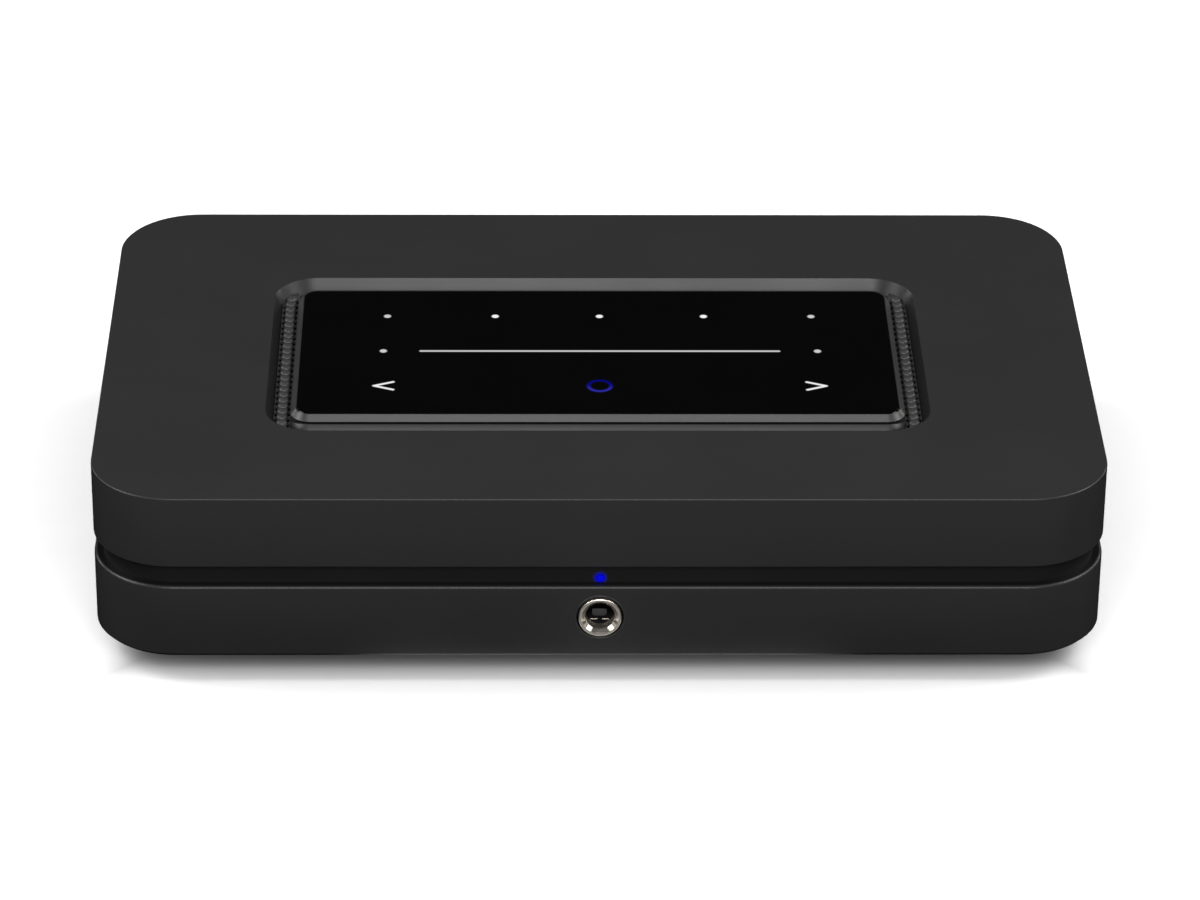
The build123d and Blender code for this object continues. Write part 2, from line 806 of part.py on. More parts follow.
# Headphone ring: a nickel tube through the front wall with a funnel mouth
headphone_ring_y = front_y - headphone_ring_proud
with BuildPart() as headphone_ring:
    with BuildSketch(upright(headphone_ring_y)):
        with Locations((0, headphone_z)):
            Circle(headphone_ring_radius)
            Circle(headphone_bore_radius, mode=Mode.SUBTRACT)
    extrude(amount=-(headphone_ring_proud + shell_wall))
    with BuildSketch(upright(headphone_ring_y)):
        with Locations((0, headphone_z)):
            Circle(headphone_funnel_radius)
    with BuildSketch(upright(headphone_ring_y + headphone_funnel_depth)):
        with Locations((0, headphone_z)):
            Circle(headphone_bore_radius)
    loft(ruled=True, mode=Mode.SUBTRACT)
headphone_ring.part.label = "headphone_ring"
export_step(headphone_ring.part, "parts/headphone_ring.step")

# Headphone socket: a block behind the wall, its bore widening into the contact chamber
headphone_chamber_y = inner_front_y + headphone_bore_length
with BuildPart() as headphone_socket:
    with BuildSketch(upright(inner_front_y)):
        with Locations((0, headphone_z)):
            Rectangle(headphone_body_width, headphone_body_height)
    extrude(amount=-headphone_body_depth)
    with BuildSketch(upright(inner_front_y)):
        with Locations((0, headphone_z)):
            Circle(headphone_bore_radius)
    extrude(amount=-headphone_bore_length, mode=Mode.SUBTRACT)
    with BuildSketch(upright(headphone_chamber_y)):
        with Locations((0, headphone_z)):
            Circle(headphone_chamber_radius)
    extrude(amount=-headphone_chamber_length, mode=Mode.SUBTRACT)
headphone_socket.part.label = "headphone_socket"
export_step(headphone_socket.part, "parts/headphone_socket.step")

# Contacts at the back of the chamber: one broad tab above and two narrow ones below
contact_end_y = headphone_chamber_y + headphone_chamber_length
with BuildPart() as headphone_contacts:
    with BuildSketch(upright(contact_end_y)):
        with Locations((0, headphone_z + contact_height)):
            Rectangle(contact_width, contact_thickness)
        with Locations(
            (-contact_spread, headphone_z - contact_height),
            (contact_spread, headphone_z - contact_height),
        ):
            Rectangle(contact_width / 2, contact_thickness)
    extrude(amount=contact_length)
headphone_contacts.part.label = "headphone_contacts"
export_step(headphone_contacts.part, "parts/headphone_contacts.step")

# Main board, notched round the headphone socket, with its processor and small sockets
board_middle_y = (board_front + board_back) / 2
processor_place = (board_left / 2, board_middle_y - processor_back)
with BuildPart() as main_board:
    with BuildSketch(Plane.XY.offset(board_z)):
        with Locations(((board_left + board_split) / 2, board_middle_y)):
            Rectangle(board_split - board_left, board_back - board_front)
        with Locations((0, inner_front_y + headphone_body_depth / 2)):
            Rectangle(
                headphone_body_width + 2 * socket_notch_gap,
                headphone_body_depth + 2 * socket_notch_gap,
                mode=Mode.SUBTRACT,
            )
        with Locations(*main_places):
            Circle(board_screw_radius + screw_hole_gap, mode=Mode.SUBTRACT)
    extrude(amount=board_thickness)
    with BuildSketch(Plane.XY.offset(board_top_z)):
        with Locations(processor_place):
            Rectangle(processor_side, processor_side)
    extrude(amount=processor_height)
    with BuildSketch(Plane.XY.offset(board_top_z)):
        with Locations((0, ribbon_low_y)):
            Rectangle(ribbon_socket_width, ribbon_socket_depth)
    extrude(amount=ribbon_socket_height)
    with BuildSketch(Plane.XY.offset(board_top_z)):
        with Locations((0, status_bend_y)):
            Rectangle(status_led_side, status_led_side)
    extrude(amount=status_led_height)
main_board.part.label = "main_board"
export_step(main_board.part, "parts/main_board.step")

heatsink_z = board_top_z + processor_height
fin_pitch = (heatsink_side - fin_thickness) / (fin_count - 1)
with BuildPart() as processor_heatsink:
    with BuildSketch(Plane.XY.offset(heatsink_z)):
        with Locations(processor_place):
            Rectangle(heatsink_side, heatsink_side)
    extrude(amount=heatsink_base)
    with BuildSketch(Plane(origin=(*processor_place, heatsink_z + heatsink_base))):
        with GridLocations(fin_pitch, 0, fin_count, 1):
            Rectangle(fin_thickness, heatsink_side)
    extrude(amount=heatsink_height - heatsink_base)
processor_heatsink.part.label = "processor_heatsink"
export_step(processor_heatsink.part, "parts/processor_heatsink.step")

# Wireless module: a small board with a stepped metal lid, near the front left corner
with BuildPart() as wireless_module:
    with BuildSketch(
        Plane(origin=(board_left + wireless_width, board_front + wireless_depth, board_top_z))
    ):
        Rectangle(wireless_width, wireless_depth)
    extrude(amount=wireless_height - wireless_lid)
    with BuildSketch(wireless_module.faces().sort_by(Axis.Z)[-1]):
        Rectangle(wireless_width - 2 * wireless_lid, wireless_depth - 2 * wireless_lid)
    extrude(amount=wireless_lid)
wireless_module.part.label = "wireless_module"
export_step(wireless_module.part, "parts/wireless_module.step")

# Rear panel: audio, data and mains plates side by side in the opening of the shells, with a
# flange behind their walls
with BuildPart() as rear_panel:
    with BuildSketch(upright(panel_face_y)):
        with Locations((0, panel_middle_z)):
            RectangleRounded(
                panel_width - 2 * panel_gap, panel_height - 2 * panel_gap, panel_corner_radius
            )
    extrude(amount=panel_face_y - inner_back_y)
    with BuildSketch(upright(inner_back_y)):
        with Locations((0, panel_middle_z)):
            RectangleRounded(
                panel_width + 2 * panel_flange_margin,
                panel_height + 2 * panel_flange_margin,
                panel_corner_radius + panel_flange_margin,
            )
    extrude(amount=panel_flange_thickness)
    # Windows for the sockets
    with BuildSketch(upright(panel_face_y)):
        for socket_x in (line_x, sub_x):
            with Locations((socket_x, phono_low_z), (socket_x, phono_high_z)):
                RegularPolygon(phono_collar_radius + window_gap, 6)
        for socket_x in (combo_x, trigger_x, infrared_x):
            with Locations((socket_x, mini_z)):
                Rectangle(mini_nose_side + 2 * window_gap, mini_nose_side + 2 * window_gap)
        for socket_x, width, height in (
            (optical_x, optical_width, optical_height),
            (hdmi_x, hdmi_width, hdmi_height),
            (usb_x, usb_width, usb_height),
            (ethernet_x, ethernet_width, ethernet_height),
            (inlet_x, inlet_width, inlet_height),
        ):
            with Locations((socket_x, board_top_z + height / 2)):
                Rectangle(width + 2 * window_gap, height + 2 * window_gap)
        for seam_x in socket_seams:
            with Locations((seam_x, panel_middle_z)):
                Rectangle(panel_seam, panel_height + 2 * panel_flange_margin)
    extrude(amount=panel_face_y - flange_y, mode=Mode.SUBTRACT)
rear_panel.part.label = "rear_panel"
export_step(rear_panel.part, "parts/rear_panel.step")

# Phono sockets: two blocks on the main board, each with an upper and a lower barrel and core
phono_end_y = back_y + phono_reach
phono_sets = (
    ("line_socket_block", line_x, "line_out_left", "line_out_right"),
    ("sub_socket_block", sub_x, "sub_out", "coaxial_out"),
)
for block_name, socket_x, upper_name, lower_name in phono_sets:
    with BuildPart() as block:
        with BuildSketch(upright(flange_y)):
            with Locations((socket_x, board_top_z + phono_block_height / 2)):
                Rectangle(phono_block_width, phono_block_height)
        extrude(amount=phono_block_depth)
    block.part.label = block_name
    export_step(block.part, f"parts/{block_name}.step")
    for socket_name, socket_z in ((upper_name, phono_high_z), (lower_name, phono_low_z)):
        with BuildPart() as barrel:
            with BuildSketch(upright(flange_y)):
                with Locations((socket_x, socket_z)):
                    Circle(phono_radius)
            extrude(amount=-(phono_end_y - flange_y))
            # Hexagonal collar that stands in the window of the panel
            with BuildSketch(upright(flange_y)):
                with Locations((socket_x, socket_z)):
                    RegularPolygon(phono_collar_radius, 6)
            extrude(amount=-(panel_face_y + phono_collar_proud - flange_y))
            with BuildSketch(upright(flange_y)):
                with Locations((socket_x, socket_z)):
                    Circle(phono_bore_radius)
            extrude(amount=-(phono_end_y - flange_y), mode=Mode.SUBTRACT)
        barrel.part.label = f"{socket_name}_barrel"
        export_step(barrel.part, f"parts/{socket_name}_barrel.step")
        with BuildPart() as core:
            with BuildSketch(upright(flange_y)):
                with Locations((socket_x, socket_z)):
                    Circle(phono_bore_radius - phono_core_gap)
                    Circle(phono_core_bore_radius, mode=Mode.SUBTRACT)
            extrude(amount=-(phono_end_y - flange_y - phono_core_sunk))
        core.part.label = f"{socket_name}_core"
        export_step(core.part, f"parts/{socket_name}_core.step")

# Round sockets for 3.5 mm plugs
for socket_name, socket_x in (
    ("combo_input_socket", combo_x),
    ("trigger_socket", trigger_x),
    ("infrared_socket", infrared_x),
):
    with BuildPart() as mini_socket:
        with BuildSketch(upright(flange_y)):
            with Locations((socket_x, mini_z)):
                Rectangle(mini_body_width, mini_body_height)
        extrude(amount=mini_body_depth)
        with BuildSketch(upright(flange_y)):
            with Locations((socket_x, mini_z)):
                Rectangle(mini_nose_side, mini_nose_side)
        extrude(amount=-(panel_face_y - flange_y))
        with BuildSketch(upright(panel_face_y)):
            with Locations((socket_x, mini_z)):
                Circle(mini_bore_radius)
        extrude(amount=panel_face_y - flange_y + mini_body_depth - mini_back_wall, mode=Mode.SUBTRACT)
    mini_socket.part.label = socket_name
    export_step(mini_socket.part, f"parts/{socket_name}.step")

# Ethernet socket with the latch notch below, and its contacts along the roof
ethernet_hole_z = board_top_z + ethernet_hole_lift
ethernet_roof_z = ethernet_hole_z + ethernet_hole_height
with BuildPart() as ethernet_socket:
    with BuildSketch(upright(panel_face_y)):
        with Locations((ethernet_x, board_top_z + ethernet_height / 2)):
            Rectangle(ethernet_width, ethernet_height)
    extrude(amount=ethernet_depth)
    with BuildSketch(upright(panel_face_y)):
        with Locations((ethernet_x, ethernet_hole_z + ethernet_hole_height / 2)):
            Rectangle(ethernet_hole_width, ethernet_hole_height)
        with Locations((ethernet_x, ethernet_hole_z - ethernet_latch_height / 2)):
            Rectangle(ethernet_latch_width, ethernet_latch_height)
    extrude(amount=ethernet_hole_depth, mode=Mode.SUBTRACT)
ethernet_socket.part.label = "ethernet_socket"
export_step(ethernet_socket.part, "parts/ethernet_socket.step")

ethernet_end_y = panel_face_y - ethernet_hole_depth
with BuildPart() as ethernet_contacts:
    with BuildSketch(
        Plane(
            origin=(ethernet_x, ethernet_end_y, ethernet_roof_z - ethernet_contact_height / 2),
            x_dir=(-1, 0, 0),
            z_dir=(0, 1, 0),
        )
    ):
        with GridLocations(ethernet_contact_pitch, 0, ethernet_contact_count, 1):
            Rectangle(ethernet_contact_width, ethernet_contact_height)
    extrude(amount=ethernet_contact_length)
ethernet_contacts.part.label = "ethernet_contacts"
export_step(ethernet_contacts.part, "parts/ethernet_contacts.step")

# USB socket: a thin metal skin round a tongue on a rear block
usb_z = board_top_z + usb_height / 2
with BuildPart() as usb_socket:
    with BuildSketch(upright(panel_face_y)):
        with Locations((usb_x, usb_z)):
            RectangleRounded(usb_width, usb_height, usb_corner_radius)
            Rectangle(usb_width - 2 * metal_skin, usb_height - 2 * metal_skin, mode=Mode.SUBTRACT)
    extrude(amount=usb_depth)
usb_socket.part.label = "usb_socket"
export_step(usb_socket.part, "parts/usb_socket.step")

usb_end_y = panel_face_y - usb_depth
with BuildPart() as usb_tongue:
    with BuildSketch(upright(usb_end_y)):
        with Locations((usb_x, usb_z)):
            Rectangle(
                usb_width - 2 * metal_skin - 2 * tongue_gap_in_skin,
                usb_height - 2 * metal_skin - 2 * tongue_gap_in_skin,
            )
    extrude(amount=-tongue_block_length)
    usb_tongue_z = board_top_z + usb_height - metal_skin - usb_tongue_drop - usb_tongue_height / 2
    with BuildSketch(upright(usb_end_y + tongue_block_length)):
        with Locations((usb_x, usb_tongue_z)):
            Rectangle(usb_tongue_width, usb_tongue_height)
    extrude(amount=-usb_tongue_length)
usb_tongue.part.label = "usb_tongue"
export_step(usb_tongue.part, "parts/usb_tongue.step")


def hdmi_outline(inset):
    """Face of the HDMI profile, wide above and narrower at the foot, drawn in by an inset."""
    middle_z = board_top_z + hdmi_height / 2
    shoulder_z = middle_z + hdmi_height / 2 - hdmi_shoulder_share * hdmi_height
    with BuildSketch() as outline:
        with BuildLine():
            Polyline(
                (hdmi_x - hdmi_width / 2, middle_z + hdmi_height / 2),
                (hdmi_x + hdmi_width / 2, middle_z + hdmi_height / 2),
                (hdmi_x + hdmi_width / 2, shoulder_z),
                (hdmi_x + hdmi_foot_width / 2, middle_z - hdmi_height / 2),
                (hdmi_x - hdmi_foot_width / 2, middle_z - hdmi_height / 2),
                (hdmi_x - hdmi_width / 2, shoulder_z),
                close=True,
            )
        make_face()
        if inset > 0:
            offset(amount=-inset, kind=Kind.INTERSECTION, mode=Mode.REPLACE)
    return outline.sketch


# HDMI socket, made the same way
with BuildPart() as hdmi_socket:
    with BuildSketch(upright(panel_face_y)):
        add(hdmi_outline(0))
        add(hdmi_outline(metal_skin), mode=Mode.SUBTRACT)
    extrude(amount=hdmi_depth)
hdmi_socket.part.label = "hdmi_socket"
export_step(hdmi_socket.part, "parts/hdmi_socket.step")

hdmi_end_y = panel_face_y - hdmi_depth
with BuildPart() as hdmi_tongue:
    with BuildSketch(upright(hdmi_end_y)):
        add(hdmi_outline(metal_skin + tongue_gap_in_skin))
    extrude(amount=-tongue_block_length)
    with BuildSketch(upright(hdmi_end_y + tongue_block_length)):
        with Locations((hdmi_x, board_top_z + hdmi_height / 2)):
            Rectangle(hdmi_tongue_width, hdmi_tongue_height)
    extrude(amount=-hdmi_tongue_length)
hdmi_tongue.part.label = "hdmi_tongue"
export_step(hdmi_tongue.part, "parts/hdmi_tongue.step")

# Optical socket: a square hole with two cut corners, and a pocket above for the open shutter
optical_floor_z = board_top_z + optical_hole_lift
optical_roof_z = optical_floor_z + optical_hole_height
shutter_y = panel_face_y - shutter_behind_mouth
shutter_z = optical_roof_z + shutter_pocket_height / 2
shutter_length = shutter_z - optical_floor_z - shutter_gap
shutter_width = optical_hole_width - 2 * shutter_gap
shutter_sweep = math.hypot(shutter_length, shutter_thickness / 2) + shutter_gap
pocket_start_y = shutter_y + shutter_knuckle_radius + shutter_gap
with BuildPart() as optical_socket:
    with BuildSketch(upright(panel_face_y)):
        with Locations((optical_x, board_top_z + optical_height / 2)):
            Rectangle(optical_width, optical_height)
    extrude(amount=optical_depth)
    with BuildSketch(upright(panel_face_y)) as optical_hole:
        with Locations((optical_x, optical_floor_z + optical_hole_height / 2)):
            Rectangle(optical_hole_width, optical_hole_height)
        chamfer(optical_hole.vertices().group_by(Axis.Y)[0], optical_hole_chamfer)
    extrude(amount=optical_hole_depth, mode=Mode.SUBTRACT)
    with BuildSketch(upright(pocket_start_y)):
        with Locations((optical_x, shutter_z)):
            Rectangle(optical_hole_width, shutter_pocket_height)
    extrude(amount=pocket_start_y - shutter_y + shutter_sweep, mode=Mode.SUBTRACT)
    # Holes for the shutter's pins
    with BuildSketch(Plane.YZ.offset(optical_x)):
        with Locations((shutter_y, shutter_z)):
            Circle(shutter_pin_radius + shutter_pin_gap)
    extrude(
        amount=shutter_width / 2 + shutter_gap + shutter_pin_length, both=True, mode=Mode.SUBTRACT
    )
optical_socket.part.label = "optical_socket"
export_step(optical_socket.part, "parts/optical_socket.step")

# Shutter: a flap on two pins that swings in and up when a plug is pushed in
shutter_foot_z = shutter_z - shutter_length
with BuildPart() as optical_shutter:
    with BuildSketch(upright(shutter_y + shutter_thickness / 2)) as flap:
        with Locations((optical_x, (shutter_z + shutter_foot_z) / 2)):
            Rectangle(shutter_width, shutter_length)
        chamfer(flap.vertices().group_by(Axis.Y)[0], optical_hole_chamfer)
    extrude(amount=shutter_thickness)
    with BuildSketch(Plane.YZ.offset(optical_x)):
        with Locations((shutter_y, shutter_z)):
            Circle(shutter_knuckle_radius)
    extrude(amount=shutter_width / 2, both=True)
    with BuildSketch(Plane.YZ.offset(optical_x)):
        with Locations((shutter_y, shutter_z)):
            Circle(shutter_pin_radius)
    extrude(amount=shutter_width / 2 + shutter_pin_length, both=True)
optical_shutter.part.label = "optical_shutter"
export_step(optical_shutter.part, "parts/optical_shutter.step")

# Mains inlet: a figure-of-eight hole with two round pins
with BuildPart() as mains_inlet:
    with BuildSketch(upright(panel_face_y)):
        with Locations((inlet_x, inlet_z)):
            RectangleRounded(inlet_width, inlet_height, inlet_corner_radius)
    extrude(amount=inlet_depth)
    with BuildSketch(upright(panel_face_y)):
        with Locations((inlet_x, inlet_z)):
            with GridLocations(inlet_pin_pitch, 0, 2, 1):
                Circle(inlet_lobe_radius)
            Rectangle(inlet_pin_pitch, inlet_waist_height)
    extrude(amount=inlet_hole_depth, mode=Mode.SUBTRACT)
mains_inlet.part.label = "mains_inlet"
export_step(mains_inlet.part, "parts/mains_inlet.step")

inlet_end_y = panel_face_y - inlet_hole_depth
with BuildPart() as mains_pins:
    with BuildSketch(upright(inlet_end_y)):
        with Locations((inlet_x, inlet_z)):
            with GridLocations(inlet_pin_pitch, 0, 2, 1):
                Circle(inlet_pin_radius)
    extrude(amount=-(inlet_hole_depth - inlet_pin_sunk))
mains_pins.part.label = "mains_pins"
export_step(mains_pins.part, "parts/mains_pins.step")

# Power board, with a block that carries its lines across to the main board
with BuildPart() as power_board:
    with BuildSketch(Plane.XY.offset(board_z)):
        with Locations((power_x, (power_front + board_back) / 2)):
            Rectangle(board_right - power_left, board_back - power_front)
        with Locations(*power_places):
            Circle(board_screw_radius + screw_hole_gap, mode=Mode.SUBTRACT)
    extrude(amount=board_thickness)
power_board.part.label = "power_board"
export_step(power_board.part, "parts/power_board.step")

with BuildPart() as board_link:
    with BuildSketch(
        Plane(origin=(board_split + board_split_gap / 2, board_back - link_back, board_top_z))
    ):
        Rectangle(link_width, link_depth)
    extrude(amount=link_height)
    fillet(board_link.edges().group_by(Axis.Z)[-1], link_edge_radius)
board_link.part.label = "board_link"
export_step(board_link.part, "parts/board_link.step")

# Transformer: a core with two windows, and a winding round its middle leg
core_y = board_back - core_forward
core_middle_z = board_top_z + core_height / 2
window_width = (core_width - core_middle) / 2 - core_leg
window_height = core_height - 2 * core_yoke
with BuildPart() as transformer_core:
    with BuildSketch(upright(core_y + core_depth / 2)):
        with Locations((power_x, core_middle_z)):
            Rectangle(core_width, core_height)
            with GridLocations(core_middle + window_width, 0, 2, 1):
                Rectangle(window_width, window_height, mode=Mode.SUBTRACT)
    extrude(amount=core_depth)
transformer_core.part.label = "transformer_core"
export_step(transformer_core.part, "parts/transformer_core.step")

with BuildPart() as transformer_winding:
    with BuildSketch(Plane(origin=(power_x, core_y, board_top_z + core_yoke + winding_gap))):
        RectangleRounded(
            core_middle + 2 * (window_width - winding_gap),
            core_depth + 2 * winding_bulge,
            winding_radius,
        )
        Rectangle(core_middle + 2 * winding_gap, core_depth + 2 * winding_gap, mode=Mode.SUBTRACT)
    extrude(amount=window_height - 2 * winding_gap)
transformer_winding.part.label = "transformer_winding"
export_step(transformer_winding.part, "parts/transformer_winding.step")


def capacitors(places, radius, height):
    """Can capacitors with a scored top, standing on the boards at places."""
    with BuildPart() as cans:
        with BuildSketch(Plane.XY.offset(board_top_z)):
            with Locations(*places):
                Circle(radius)
        extrude(amount=height)
        with BuildSketch(Plane.XY.offset(board_top_z + height)):
            with Locations(*places):
                Rectangle(2 * radius - capacitor_score_margin, capacitor_score_width)
                Rectangle(capacitor_score_width, 2 * radius - capacitor_score_margin)
        extrude(amount=-capacitor_score_depth, mode=Mode.SUBTRACT)
    return cans.part


bulk_capacitor = capacitors([(power_x, board_back - bulk_forward)], bulk_radius, bulk_height)
bulk_capacitor.label = "bulk_capacitor"
export_step(bulk_capacitor, "parts/bulk_capacitor.step")

output_places = [
    (power_x + (index - (output_count - 1) / 2) * output_pitch, board_back - output_forward)
    for index in range(output_count)
]
output_capacitors = capacitors(output_places, output_radius, output_height)
output_capacitors.label = "output_capacitors"
export_step(output_capacitors, "parts/output_capacitors.step")
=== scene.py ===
import json
import math

import bmesh
import bpy
from bpy.props import FloatProperty, FloatVectorProperty, IntProperty, PointerProperty, StringProperty
from mathutils import Matrix, Vector


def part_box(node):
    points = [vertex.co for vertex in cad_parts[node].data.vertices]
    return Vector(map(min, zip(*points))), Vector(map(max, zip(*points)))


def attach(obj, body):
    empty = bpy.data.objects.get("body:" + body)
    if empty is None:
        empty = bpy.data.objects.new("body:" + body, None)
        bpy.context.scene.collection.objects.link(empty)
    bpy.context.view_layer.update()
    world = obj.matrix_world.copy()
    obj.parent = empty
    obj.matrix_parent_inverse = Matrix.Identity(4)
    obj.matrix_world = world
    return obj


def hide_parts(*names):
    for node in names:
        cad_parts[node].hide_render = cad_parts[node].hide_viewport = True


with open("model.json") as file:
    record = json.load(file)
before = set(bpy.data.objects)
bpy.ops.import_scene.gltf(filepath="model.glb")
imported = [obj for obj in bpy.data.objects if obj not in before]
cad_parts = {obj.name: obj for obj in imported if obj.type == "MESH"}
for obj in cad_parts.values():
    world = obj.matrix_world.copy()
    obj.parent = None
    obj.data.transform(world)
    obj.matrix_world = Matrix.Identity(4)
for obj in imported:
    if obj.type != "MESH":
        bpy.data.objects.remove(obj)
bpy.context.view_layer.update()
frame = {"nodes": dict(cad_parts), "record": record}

bl_info = {
    "name": "Network music streamer",
    "version": (1, 0, 0),
    "blender": (4, 5, 0),
    "location": "View3D > Sidebar > Streamer",
    "description": "Dresses the packed streamer and sets its stage",
    "category": "Object",
}

HOUSING = "housing"
# Vertices nearer than the merge gap become one, and a cut reaches as far as the cut gap
MERGE_GAP = 0.000002
CUT_GAP = 0.0000001
# Edges that turn less than the flat turn are dissolved
FLAT_TURN = math.radians(0.5)
# Upward share of a level face's normal
LEVEL = 0.99


# Settings

def length(name, description, default):
    """A length in metres, shown in the sidebar."""
    return FloatProperty(name=name, description=description, default=default, unit="LENGTH", precision=5)


def place(name, description, *default):
    """A place or a size of two or three lengths."""
    return FloatVectorProperty(name=name, description=description, size=len(default), default=default,
                               unit="LENGTH", precision=5)


def angle(name, description, default):
    """An angle in radians."""
    return FloatProperty(name=name, description=description, default=default, subtype="ANGLE")


def count(name, description, default):
    """A whole number of steps, sides or rows."""
    return IntProperty(name=name, description=description, default=default, min=1)


def node_name(name, description, default):
    """The name of a CAD node."""
    return StringProperty(name=name, description=description, default=default)


def share(name, description, default):
    """A part of a whole."""
    return FloatProperty(name=name, description=description, default=default, min=0.0, max=1.0)


def power(name, description, default):
    """A lamp's power in watts."""
    return FloatProperty(name=name, description=description, default=default, unit="POWER")


def colour(name, description, *levels):
    """A linear colour. A single level makes a grey."""
    red, green, blue = levels if len(levels) == 3 else levels * 3
    return FloatVectorProperty(name=name, description=description, default=(red, green, blue, 1.0), size=4,
                               subtype="COLOR", min=0.0, max=1.0)


class FinishSettings(bpy.types.PropertyGroup):
    """Colours of what shows from outside. Each finish drifts from its dark tone to its light one."""
    housing_dark: colour("Housing dark", "Darkest tone of the shells", 0.0172)
    housing_light: colour("Housing light", "Lightest tone of the shells", 0.0202)
    # The band's near-black tones are partly painted shade of the groove.
    band_dark: colour("Band dark", "Darkest tone of the groove's band", 0.003)
    band_light: colour("Band light", "Lightest tone of the groove's band", 0.0045)
    tray_dark: colour("Tray dark", "Darkest tone of the pocket's floor", 0.015)
    tray_light: colour("Tray light", "Lightest tone of the pocket's floor", 0.019)
    grille_dark: colour("Grille dark", "Darkest tone of the vent grilles", 0.027)
    grille_light: colour("Grille light", "Lightest tone of the vent grilles", 0.033)
    bezel_dark: colour("Bezel dark", "Darkest tone of the touch bezel", 0.02)
    bezel_light: colour("Bezel light", "Lightest tone of the touch bezel", 0.025)
    glass_dark: colour("Glass dark", "Darkest tone of the touch glass", 0.0008)
    glass_light: colour("Glass light", "Lightest tone of the touch glass", 0.0012)
    nickel_dark: colour("Nickel dark", "Darkest tone of plated metal", 0.62, 0.565, 0.49)
    nickel_light: colour("Nickel light", "Lightest tone of plated metal", 0.78, 0.725, 0.65)
    sign_bright: colour("Sign bright", "Light of the bright signs", 0.82)
    sign_soft: colour("Sign soft", "Light of the outer dots and of the line", 0.54)
    ring_far: colour("Ring far", "Light of the ring's far side", 0.0, 0.0, 0.16)
    ring_near: colour("Ring near", "Light of the ring's near side", 0.02, 0.018, 0.3)


class CasingSettings(bpy.types.PropertyGroup):
    """How the casing is shaded, and the seat of the touch module."""
    smooth_angle: angle("Smooth angle", "Edges that turn less than this are shaded round", math.radians(50))
    crisp_angle: angle("Crisp angle", "Edges of the bezel that turn more stay crisp", 0.42)
    seat_of: node_name("Seat of", "Node that carries the touch module", "touch_tray")
    seat_node: node_name("Seated", "Node that stands on the seat", "touch_bezel")
    seat_radius: length("Seat radius", "Corner radius of the bezel's outline", 0.00435)
    seat_slide: length("Seat slide", "How far the seat's rim lies under the bezel", 0.00015)
    seat_rim: length("Seat rim", "Width of the seat's fine rim", 0.0001)
    seat_groove: length("Seat groove", "Depth of the groove behind the rim", 0.0006)
    seat_run: length("Seat run", "Width over which the seat rises again under the bezel", 0.0009)
    seat_flat: length("Seat flat", "How level the seat lies with the bezel's foot", 0.00004)
    slope_low: share("Slope low", "Least rise of the seat's chamfer along its edges", 0.4)
    slope_high: share("Slope high", "Greatest rise of the seat's chamfer along its edges", 0.9)
    foot_height: length("Foot height", "Height of the bezel's sunk foot", 0.0004)
    # Painted shade: how dark, and over what width, the housing is coloured on the groove's ledge and the
    # pocket's side walls.
    shade_soft: length("Shade soft", "Softness of the shaded ledge and walls", 0.0001)
    ledge_shade: share("Ledge shade", "How dark the ledge of the groove is", 0.8)
    wall_shade: share("Wall shade", "How dark the side walls of the pocket are", 0.7)
    wall_width: length("Wall width", "Width over which a side wall is dark", 0.0016)
    wall_end: length("Wall end", "Length over which a wall's shade ends", 0.001)


class GrilleSettings(bpy.types.PropertyGroup):
    """The vent grilles beside the touch module."""
    rows: count("Rows", "Rows of ribs, end to end", 25)
    pitch: length("Pitch", "From one row to the next", 0.00257)
    column: length("Column", "From the strip's middle to a column of holes", 0.00146)
    hole_half_width: length("Hole half width", "Half a hole's width across the strip", 0.00041)
    hole_half_length: length("Hole half length", "Half a hole's length along the strip", 0.00086)
    hole_sides: count("Hole sides", "Sides of a hole's rim, a multiple of eight", 16)
    thickness: length("Thickness", "Thickness of the strip", 0.00032)
    rib_half_length: length("Rib half length", "Half a rib's length across the strip", 0.00132)
    rib_half_width: length("Rib half width", "Half a rib's width along the strip", 0.00122)
    rib_straight: length("Rib straight", "Half the straight middle of a rib", 0.00045)
    rib_segments: count("Rib segments", "Steps round a rib", 16)
    rib_rings: count("Rib rings", "Steps from end to end of a rib", 10)
    corner_radius: length("Corner radius", "Radius of the pocket floor's corners", 0.00845)
    corner_cuts: count("Corner cuts", "Flats that make up a corner", 10)
    crisp_angle: angle("Crisp angle", "Edges that turn more stay crisp", math.radians(60))


class HeadphoneSettings(bpy.types.PropertyGroup):
    """The headphone ring and the springs inside its bore."""
    lip_radius: length("Lip radius", "Radius of the ring at its foremost line", 0.0045)
    funnel_radius: length("Funnel radius", "Radius where the funnel starts", 0.004)
    bore_radius: length("Bore radius", "Radius of the bore", 0.0032)
    funnel_depth: length("Funnel depth", "Depth of the funnel", 0.0008)
    lip_drop: length("Lip drop", "How far the outer edge falls back", 0.00018)
    rim_radius: length("Rim radius", "Radius of the hole's fine rim", 0.00525)
    rim_half: length("Rim half", "Half the width of the hole's fine rim", 0.00014)
    tab_depth: length("Tab depth", "Depth of the broad tab behind the ring's face", 0.0066)
    tab_width: length("Tab width", "Width of the broad tab", 0.0033)
    tab_height: length("Tab height", "Height of the broad tab", 0.0016)
    tab_lean: angle("Tab lean", "How far the tab leans back", 0.42)
    tip_depth: length("Tip depth", "Depth of the two bright tips", 0.0038)
    tip_reach: length("Tip reach", "Length of a bright tip across the bore", 0.0016)
    tip_height: length("Tip height", "Height of a bright tip", 0.00016)
    tip_middle: length("Tip middle", "From the bore's middle to that of a tip", 0.00126)
    bar_round: share("Bar round", "Rounding of the tab and tips, in shares of their height", 0.45)
    ring_crisp: angle("Ring crisp", "Edges of the ring that turn more stay crisp", math.radians(14))
    rim_crisp: angle("Rim crisp", "Edges of the fine rim that turn more stay crisp", math.radians(50))
    spring_crisp: angle("Spring crisp", "Edges of the springs that turn more stay crisp", math.radians(40))


